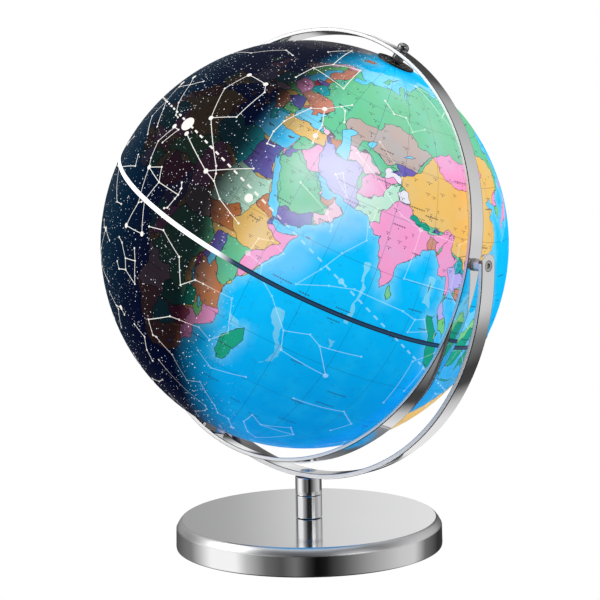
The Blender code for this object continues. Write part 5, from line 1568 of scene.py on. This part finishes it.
@dataclass
class Base:
    """The weighted base: a spun shell with a satin top and a bright wall, over plate, ballast and pad."""

    wall_low: float = 0.4 * MM
    rim_radius: float = 1.2 * MM
    sheet: float = 1.5 * MM
    shoulder_in: float = 3.6 * MM
    shoulder_down: float = 4.6 * MM
    pocket: float = 8.5 * MM
    roof: float = 8.7 * MM
    steps: int = 192

    def profile(self) -> list[Point]:
        """The shell's outline, from the hole's top edge outwards, down the wall and back inside."""
        hole, outer, _, high = STAND.span("base_shell")
        sheet = self.sheet
        flat, shoulder = outer - self.shoulder_in, high - self.shoulder_down
        rise = high - shoulder
        swell = [(share, 1 - share ** 1.6) for share in (0, 0.08, 0.17, 0.28, 0.4, 0.54, 0.7, 0.86, 1)]
        outside = [(flat + (outer - flat) * out, shoulder + rise * up) for out, up in swell]
        inside = [(r - sheet * (0.3 + 0.7 * out), z - sheet * (1 - 0.2 * out))
                  for (r, z), (out, _) in zip(outside, swell)]
        lip = [(outer + 0.2 * MM, self.wall_low + self.rim_radius), (outer, self.wall_low),
               (outer - sheet, self.wall_low)]
        return [(hole, high)] + outside + lip + inside[::-1] + [(hole, high - sheet)]

    def finish(self) -> bpy.types.Material:
        """Mirror-bright wall; a top with fine turned marks that spread the light."""
        s = Shader("base_satin_top")
        _, outer, _, high = STAND.span("base_shell")
        p = s.point(STAND)
        x, y, z = s.split(p)
        across = (x * x + y * y) ** 0.5
        top = z.ramp(high - 1.2 * MM, high - 0.2 * MM)
        bend = across.ramp(outer - 4.0 * MM, outer - 2.8 * MM) * z.ramp(high - 4.8 * MM, high - 4.2 * MM)
        marks = s.turned(across * 2600.0, 3.0)
        cloud = s.noise(p, 22.0)
        tone = s.mix(top * (0.10 + 0.12 * cloud), (0.90, 0.90, 0.91), (0.62, 0.62, 0.64))
        return s.surface(Base_Color=tone, Metallic=1.0,
                         Roughness=0.09 + 0.03 * cloud + 0.22 * bend,
                         Normal=s.bump(marks * top, 3e-6, 0.35))

    def build(self) -> None:
        """Make the shell and the pieces under it."""
        bm = turn_profile(self.profile(), self.steps)
        soften(bm, 0.25 * MM)
        settle("base_cover", bm, STAND.place, self.finish(), Seat("stand", "chrome", ("base_shell",)))
        for node, finish, slot in (("base_pad", Finish.FOAM, "foam"),
                                   ("base_bottom_plate", Finish.BLACK_STEEL, "black_steel"),
                                   ("base_weight", Finish.CAST_IRON, "cast_iron"),
                                   ("base_washer", Finish.ZINC, "zinc")):
            Maker("stand").turned(node, finish, slot, 0.2 * MM,
                                  48 if node == "base_washer" else self.steps,
                                  self.ballast() if node == "base_weight" else None)

    def ballast(self) -> list[Point]:
        """The cast ballast's outline, with the pocket for the clamp nut."""
        bore, outer, low, high = STAND.span("base_weight")
        return [(self.pocket, low), (outer, low), (outer, high), (bore, high), (bore, self.roof),
                (self.pocket, self.roof)]


@dataclass
class Stem:
    """Two polished sleeves on a rod, between the base and the yoke."""

    edge: float = 0.45 * MM
    steps: int = 96

    def build(self) -> None:
        """Make both sleeves and the rod."""
        for node in ("stem_lower", "stem_upper"):
            Maker("stand").turned(node, Finish.STEEL, "satin_steel", self.edge, self.steps, tag="_sleeve")
        Maker("stand").rod("stem_rod", 0.3 * MM, 48)


@dataclass(frozen=True)
class ScrewHead:
    """A countersunk socket screw, along its own axis."""

    head: float
    shank: float
    socket: float
    depth: float
    rim: float = 0.2 * MM
    clear: float = 0.3 * MM

    def profile(self, tip: float, face: float) -> list[Point]:
        """The outline from the tip up to the face, with a round socket sunk in it."""
        cone = self.head - self.shank
        return [(0, tip), (self.shank * 0.8, tip), (self.shank, tip + self.shank * 0.3),
                (self.shank, face - self.rim - cone), (self.head, face - self.rim),
                (self.head, face), (self.socket * 1.5, face),
                (self.socket * 1.2, face - self.depth * 0.4), (self.socket * 1.1, face - self.depth),
                (0, face - self.depth)]

    def hole(self, face: float, reach: float) -> bmesh.types.BMesh:
        """The countersunk hole that the head sits in, as a cutter."""
        shoulder = face - self.rim - (self.head - self.shank) - self.clear
        bore, wide = self.shank + 0.1 * MM, self.head + self.clear
        outline = [(0, face - reach), (bore, face - reach), (bore, shoulder),
                   (wide, face - self.rim - 0.1 * MM), (wide, face + reach), (0, face + reach)]
        bm = turn_profile(outline, 48, closed=False)
        bmesh.ops.recalc_face_normals(bm, faces=bm.faces)
        return bm


def strip_chrome(axis: Axis, half: float) -> bpy.types.Material:
    """Chrome for a bent strip: mirror faces, a painted dark reflection as a line along each bevel, and
    satin edges.

    Args:
        axis: the line that the strip goes round.
        half: half the strip's width.

    Returns:
        The material.
    """
    s = Shader("strip_chrome")
    p = s.point(axis)
    side = s.split(p)[2].op("ABSOLUTE")
    rim = side.ramp(half - 0.12 * MM, half - 0.04 * MM)
    # Painted reflection: a dark line is painted into the colour just inside each bevel, for the dark that
    # the bevel reflects.
    line = side.ramp(half - 0.62 * MM, half - 0.50 * MM) * (1 - rim)
    cloud = s.noise(p, 30.0)
    fine = s.noise(p, 700.0)
    tone = s.mix(line * 0.85, (0.90, 0.90, 0.91), (0.05, 0.05, 0.055))
    return s.surface(Base_Color=tone, Metallic=1.0, Roughness=0.04 + 0.03 * cloud + 0.42 * rim,
                     Normal=s.bump(fine, 2e-6, 0.3))


@dataclass
class Yoke:
    """The half ring on the stem, with its round ears, stem screw and pivots."""

    ear_rise: float = 0.9 * MM
    edge: float = 0.5 * MM
    bends: int = 120
    ear_steps: int = 20
    pivot_head: ScrewHead = ScrewHead(2.8 * MM, 1.5 * MM, 1.0 * MM, 0.9 * MM)
    stem_head: ScrewHead = ScrewHead(4.3 * MM, 2.5 * MM, 1.6 * MM, 1.5 * MM)
    head_sink: float = 0.1 * MM

    def __post_init__(self) -> None:
        """Read the band's size from the frame."""
        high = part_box("yoke")[1]
        self.outer, self.half_width = high.x, high.y
        self.inner = CENTRE.z - (STAND.span("yoke_screw")[3] + self.head_sink)
        self.middle = (self.inner + self.outer) / 2

    def band(self) -> bmesh.types.BMesh:
        """A flat strip with round ends, softened and then bent into the half ring about Y."""
        thick, half = self.outer - self.inner, self.half_width
        length = self.middle * (pi / 2 + asin(self.ear_rise / self.middle))
        bm = bmesh.new()
        verts = []
        for side in (1, -1):
            for i in range(self.ear_steps + 1):
                turn = -pi / 2 + pi * i / self.ear_steps
                out, across = length + half * cos(turn), half * sin(turn)
                verts.append(bm.verts.new((side * out, side * across, 0)))
        face = bm.faces.new(verts)
        raised = bmesh.ops.extrude_face_region(bm, geom=[face])["geom"]
        bmesh.ops.translate(bm, verts=[v for v in raised if isinstance(v, bmesh.types.BMVert)],
                            vec=(0, 0, thick))
        soften(bm, self.edge)
        for i in range(self.bends + 1):
            place = length * (2 * i / self.bends - 1)
            everything = bm.verts[:] + bm.edges[:] + bm.faces[:]
            bmesh.ops.bisect_plane(bm, geom=everything, plane_co=(place, 0, 0), plane_no=(1, 0, 0),
                                   dist=MERGE)
        for vert in bm.verts:
            angle = vert.co.x / self.middle - pi / 2
            radius = self.inner + vert.co.z
            vert.co = (radius * cos(angle), vert.co.y, radius * sin(angle))
        bmesh.ops.translate(bm, verts=bm.verts, vec=CENTRE)
        return bm

    def build(self) -> None:
        """Cut the band's screw holes and put its screws, spacers, washers and nuts in place."""
        pivot_face = self.outer - self.head_sink
        stem_face = STAND.span("yoke_screw")[3]
        cutters = []
        for axis in PIVOTS.values():
            hole = self.pivot_head.hole(pivot_face, 5 * MM)
            hole.transform(axis.place @ Matrix.Rotation(HOLE_TURN, 4, "Z"))
            cutters.append(hole)
        cutters.append(self.stem_head.hole(stem_face, 6 * MM))
        settle("yoke_band", cut(self.band(), cutters), Matrix(), strip_chrome(YOKE_AXIS, self.half_width),
               Seat("stand", "chrome", ("yoke",)), sharp=35.0)
        self.screw("yoke_stem_screw", "yoke_screw", self.stem_head, STAND)
        for side, axis in PIVOTS.items():
            self.screw("pivot_screw_head_" + side, "pivot_screw_" + side, self.pivot_head, axis)
            self.pivot_stack(side, axis)

    def screw(self, name: str, node: str, head: ScrewHead, axis: Axis) -> None:
        """One countersunk screw with its key recess."""
        _, _, tip, face = axis.span(node)
        blank = turn_profile(head.profile(tip, face), 48, closed=False)
        bmesh.ops.recalc_face_normals(blank, faces=blank.faces)
        settle(name, blank, axis.place, Finish.ZINC.material(), Seat("stand", "zinc", (node,)),
               sharp=35.0)

    def pivot_stack(self, side: str, axis: Axis) -> None:
        """The hexagonal spacer, washer and nut between an ear and the ring."""
        maker = Maker("stand", axis)
        maker.hexagonal("pivot_spacer_" + side, Finish.SATIN, "chrome", 0.3 * MM)
        maker.turned("pivot_washer_" + side, Finish.NYLON, "nylon")
        maker.hexagonal("pivot_nut_" + side, Finish.ZINC, "zinc", 0.25 * MM)


# ---------------------------------------------------------------- meridian ring


@dataclass
class Meridian:
    """The full chrome ring, with the fittings at its poles."""

    edge: float = 0.5 * MM
    steps: int = 288
    nut_share: float = 0.76
    maker: Maker = Maker("meridian", POLAR)

    def build(self) -> None:
        """Make the ring, the north stud's nuts and spacer and the south axle's fittings."""
        inner, outer, low, high = RING_AXIS.span("meridian_ring")
        bm = turn_profile(sleeve(inner, outer, low, high), self.steps)
        soften(bm, self.edge)
        settle("meridian_band", bm, RING_AXIS.place, strip_chrome(RING_AXIS, high),
               Seat("meridian", "chrome", ("meridian_ring",)), sharp=35.0)
        self.north()
        self.south()

    def north(self) -> None:
        """The stud, its hexagonal spacer, the domed cap nut outside and the lock nut inside."""
        self.maker.hexagonal("north_spacer", Finish.DARK_CHROME, "chrome", 0.3 * MM)
        _, radius, low, high = POLAR.span("north_cap_nut")
        high = low + (high - low) * self.nut_share
        dome = (high - low) * 0.6
        outline = [(0, low), (radius * 0.88, low), (radius, low + radius * 0.12)]
        outline += [(radius * cos(radians(a)) ** 0.8, high - dome + dome * sin(radians(a)))
                    for a in range(0, 90, 6)] + [(0, high)]
        bm = turn_profile(outline, 64, closed=False)
        settle("north_dome_nut", bm, POLAR.place, Finish.DARK_CHROME.material(),
               Seat("meridian", "dark_chrome", ("north_cap_nut",)), sharp=60.0)
        self.maker.hexagonal("north_lock_nut", Finish.ZINC, "zinc", 0.25 * MM)
        self.maker.rod("north_stud", 0.2 * MM, 32)

    def south(self) -> None:
        """The collar, the hollow axle and its clip; the inlet keeps its own shape."""
        self.maker.hexagonal("south_spacer", Finish.CHROME, "chrome", 0.4 * MM)
        for node in ("lamp_tube", "south_clip"):
            self.maker.turned(node, Finish.ZINC, "zinc", 0.15 * MM)


def dress_hidden_nodes() -> None:
    """Give the CAD nodes that stay in view from inside or behind their finishes."""
    finishes = {
        "base_nut": Finish.ZINC, "dc_inlet": Finish.BLACK_PLASTIC, "lamp_lead": Finish.BLACK_PLASTIC,
        "lamp_holder": Finish.WHITE_PLASTIC, "led_board": Finish.WHITE_PLASTIC,
        "north_bushing": Finish.NYLON, "south_bushing": Finish.NYLON,
    }
    for node, finish in finishes.items():
        paint(frame["nodes"][node], finish.material())
    opal = Moulded("opal_diffuser", (0.92, 0.90, 0.84), 0.3, through=0.3)
    paint(frame["nodes"]["lamp_diffuser"], opal.build())


def paint(obj: bpy.types.Object, material: bpy.types.Material) -> None:
    """Put one material in all of an object's slots."""
    for slot in obj.material_slots:
        slot.material = material
    if not obj.material_slots:
        obj.data.materials.append(material)


# ---------------------------------------------------------------- studio


class RoomShader(Shader):
    """The world's node tree, built by the same calls."""

    def __init__(self, world: bpy.types.World) -> None:
        """Take over an empty world."""
        world.use_nodes = True
        self.tree = world.node_tree
        self.tree.nodes.clear()


@dataclass
class Studio:
    """A pale floor, a white room with dark flags beside it, soft lights and the camera."""

    azimuth: float = radians(42.668)
    elevation: float = radians(9.434)
    roll: float = radians(-0.937)
    distance: float = 1.6997
    lens: float = 181.84
    aside: float = -2.62 * MM
    below: float = -31.08 * MM
    room: float = 20.0
    walls: tuple[Point, ...] = (
        (-180, 0.68), (-178.6, 0.42), (-175, 0.30), (-165, 0.30), (-150, 0.35), (-116, 0.10),
        (-106, 0.95), (-60, 1.0), (-45, 0.45), (-18, 0.10), (-11, 0.02), (22, 0.02), (30, 0.38),
        (72, 0.42), (84, 0.52), (100, 0.72), (122, 0.55), (142, 0.42), (154, 0.08), (170, 0.05),
        (175, 0.90), (178, 0.82), (180, 0.68))
    dome: tuple[Point, ...] = (
        (-180, 0.30), (-150, 0.35), (-100, 0.70), (-76, 0.60), (-62, 0.03), (72, 0.03), (92, 0.35),
        (125, 0.50), (150, 0.30), (170, 0.10), (180, 0.30))
    ground: tuple[Point, ...] = (
        (-180, 0.05), (-150, 0.12), (-122, 0.22), (-108, 0.55), (-94, 1.0), (-66, 1.0), (-56, 0.55),
        (-38, 0.15), (-24, 0.08), (-12, 0.18), (-3, 0.04), (5, 0.002), (14, 0.01), (28, 0.09),
        (52, 0.34), (84, 0.62), (102, 0.66), (118, 0.16), (146, 0.03), (180, 0.05))
    pit: tuple[Point, ...] = (
        (-180, 0.70), (-165, 0.30), (-150, 0.05), (-60, 0.03), (60, 0.03), (92, 0.14), (104, 0.28),
        (110, 0.18), (118, 0.05), (126, 0.06), (135, 0.55), (146, 0.80), (166, 0.85), (180, 0.70))
    ceiling: float = 0.8

    def build(self) -> None:
        """Make the room, the lights and the camera."""
        self.world()
        self.floor()
        self.camera()
        self.light("key", (-1.3, -1.5, 1.6), 1.2, 11.0)
        self.light("fill", (1.9, -0.2, 1.0), 1.0, 3.0)
        self.light("back", (-1.2, 0.9, 2.3), 1.2, 5.0)

    def tones(self, s: Shader, x: Val, y: Val, stops: Sequence[Point]) -> bpy.types.NodeSocket:
        """Grey tones that change with the bearing from the globe's front, in degrees to the right."""
        bearing = s.math("ARCTAN2", y, x) / (2 * pi) + (0.75 - self.azimuth / (2 * pi) + 1.0)
        ramp = s.add("ShaderNodeValToRGB",
                     {"stops": [((turn + 180) / 360, (tone, tone, tone)) for turn, tone in stops]},
                     {0: bearing.op("FRACT")})
        return ramp.outputs[0]

    def world(self) -> None:
        """Even white to the eye; to the metal, a room with bright walls and dark flags."""
        scene = bpy.context.scene
        scene.view_settings.view_transform = "Standard"
        scene.world = bpy.data.worlds.new("white_room")
        s = RoomShader(scene.world)
        x, y, z = s.split(s.add("ShaderNodeTexCoord").outputs["Generated"])
        walls, dome, ground, pit = (self.tones(s, x, y, part)
                                    for part in (self.walls, self.dome, self.ground, self.pit))
        top = s.mix(z.ramp(0.80, 0.90), s.mix(z.ramp(0.38, 0.52), walls, dome), (self.ceiling,) * 3)
        tone = s.mix(z.ramp(-0.07, 0.05), s.mix(z.ramp(-0.52, -0.36), pit, ground), top)
        seen = s.add("ShaderNodeLightPath").outputs["Is Camera Ray"]
        back = s.add("ShaderNodeBackground", inputs={"Color": s.mix(seen, tone, (1, 1, 1))})
        s.add("ShaderNodeOutputWorld", inputs={"Surface": back.outputs[0]})

    def floor(self) -> None:
        """A wide white floor that ends far past the view and leaves no mark in the metal."""
        bm = bmesh.new()
        bmesh.ops.create_grid(bm, x_segments=4, y_segments=4, size=self.room)
        mesh = bpy.data.meshes.new("studio_floor")
        bm.to_mesh(mesh)
        bm.free()
        floor = show("studio_floor", mesh)
        s = Shader("white_floor")
        mesh.materials.append(s.surface(Base_Color=(0.0, 0.0, 0.0), Roughness=1.0, Specular_IOR_Level=0.0,
                                        Emission_Color=(1, 1, 1), Emission_Strength=1.0))
        floor.visible_glossy = False
        floor.visible_diffuse = False

    def camera(self) -> None:
        """The camera, turned a little about its view, looking below the globe's middle."""
        a, e = self.azimuth, self.elevation
        back = Vector((sin(a) * cos(e), -cos(a) * cos(e), sin(e)))
        level = Vector((cos(a), sin(a), 0))
        right = level * cos(self.roll) + back.cross(level) * sin(self.roll)
        up = back.cross(right)
        data = bpy.data.cameras.new("camera")
        data.lens = self.lens
        data.clip_end = 100
        camera = show("camera", data)
        camera.location = CENTRE + right * self.aside + up * self.below + back * self.distance
        camera.rotation_euler = Matrix((right, up, back)).transposed().to_euler()
        bpy.context.scene.camera = camera

    def light(self, name: str, place: Sequence[float], size: float, power: float) -> None:
        """A soft square light that faces the globe."""
        data = bpy.data.lights.new(name, "AREA")
        data.size = size
        data.energy = power
        lamp = show(name, data)
        lamp.location = place
        lamp.rotation_euler = (Vector(place) - CENTRE).to_track_quat("Z", "Y").to_euler()


def main() -> None:
    """Build the globe from the floor up, then the room round it."""
    logging.basicConfig(level=logging.INFO, format="%(message)s")
    Base().build()
    Stem().build()
    Yoke().build()
    Meridian().build()
    Globe().build()
    dress_hidden_nodes()
    Studio().build()


if __name__ == "__main__":
    main()
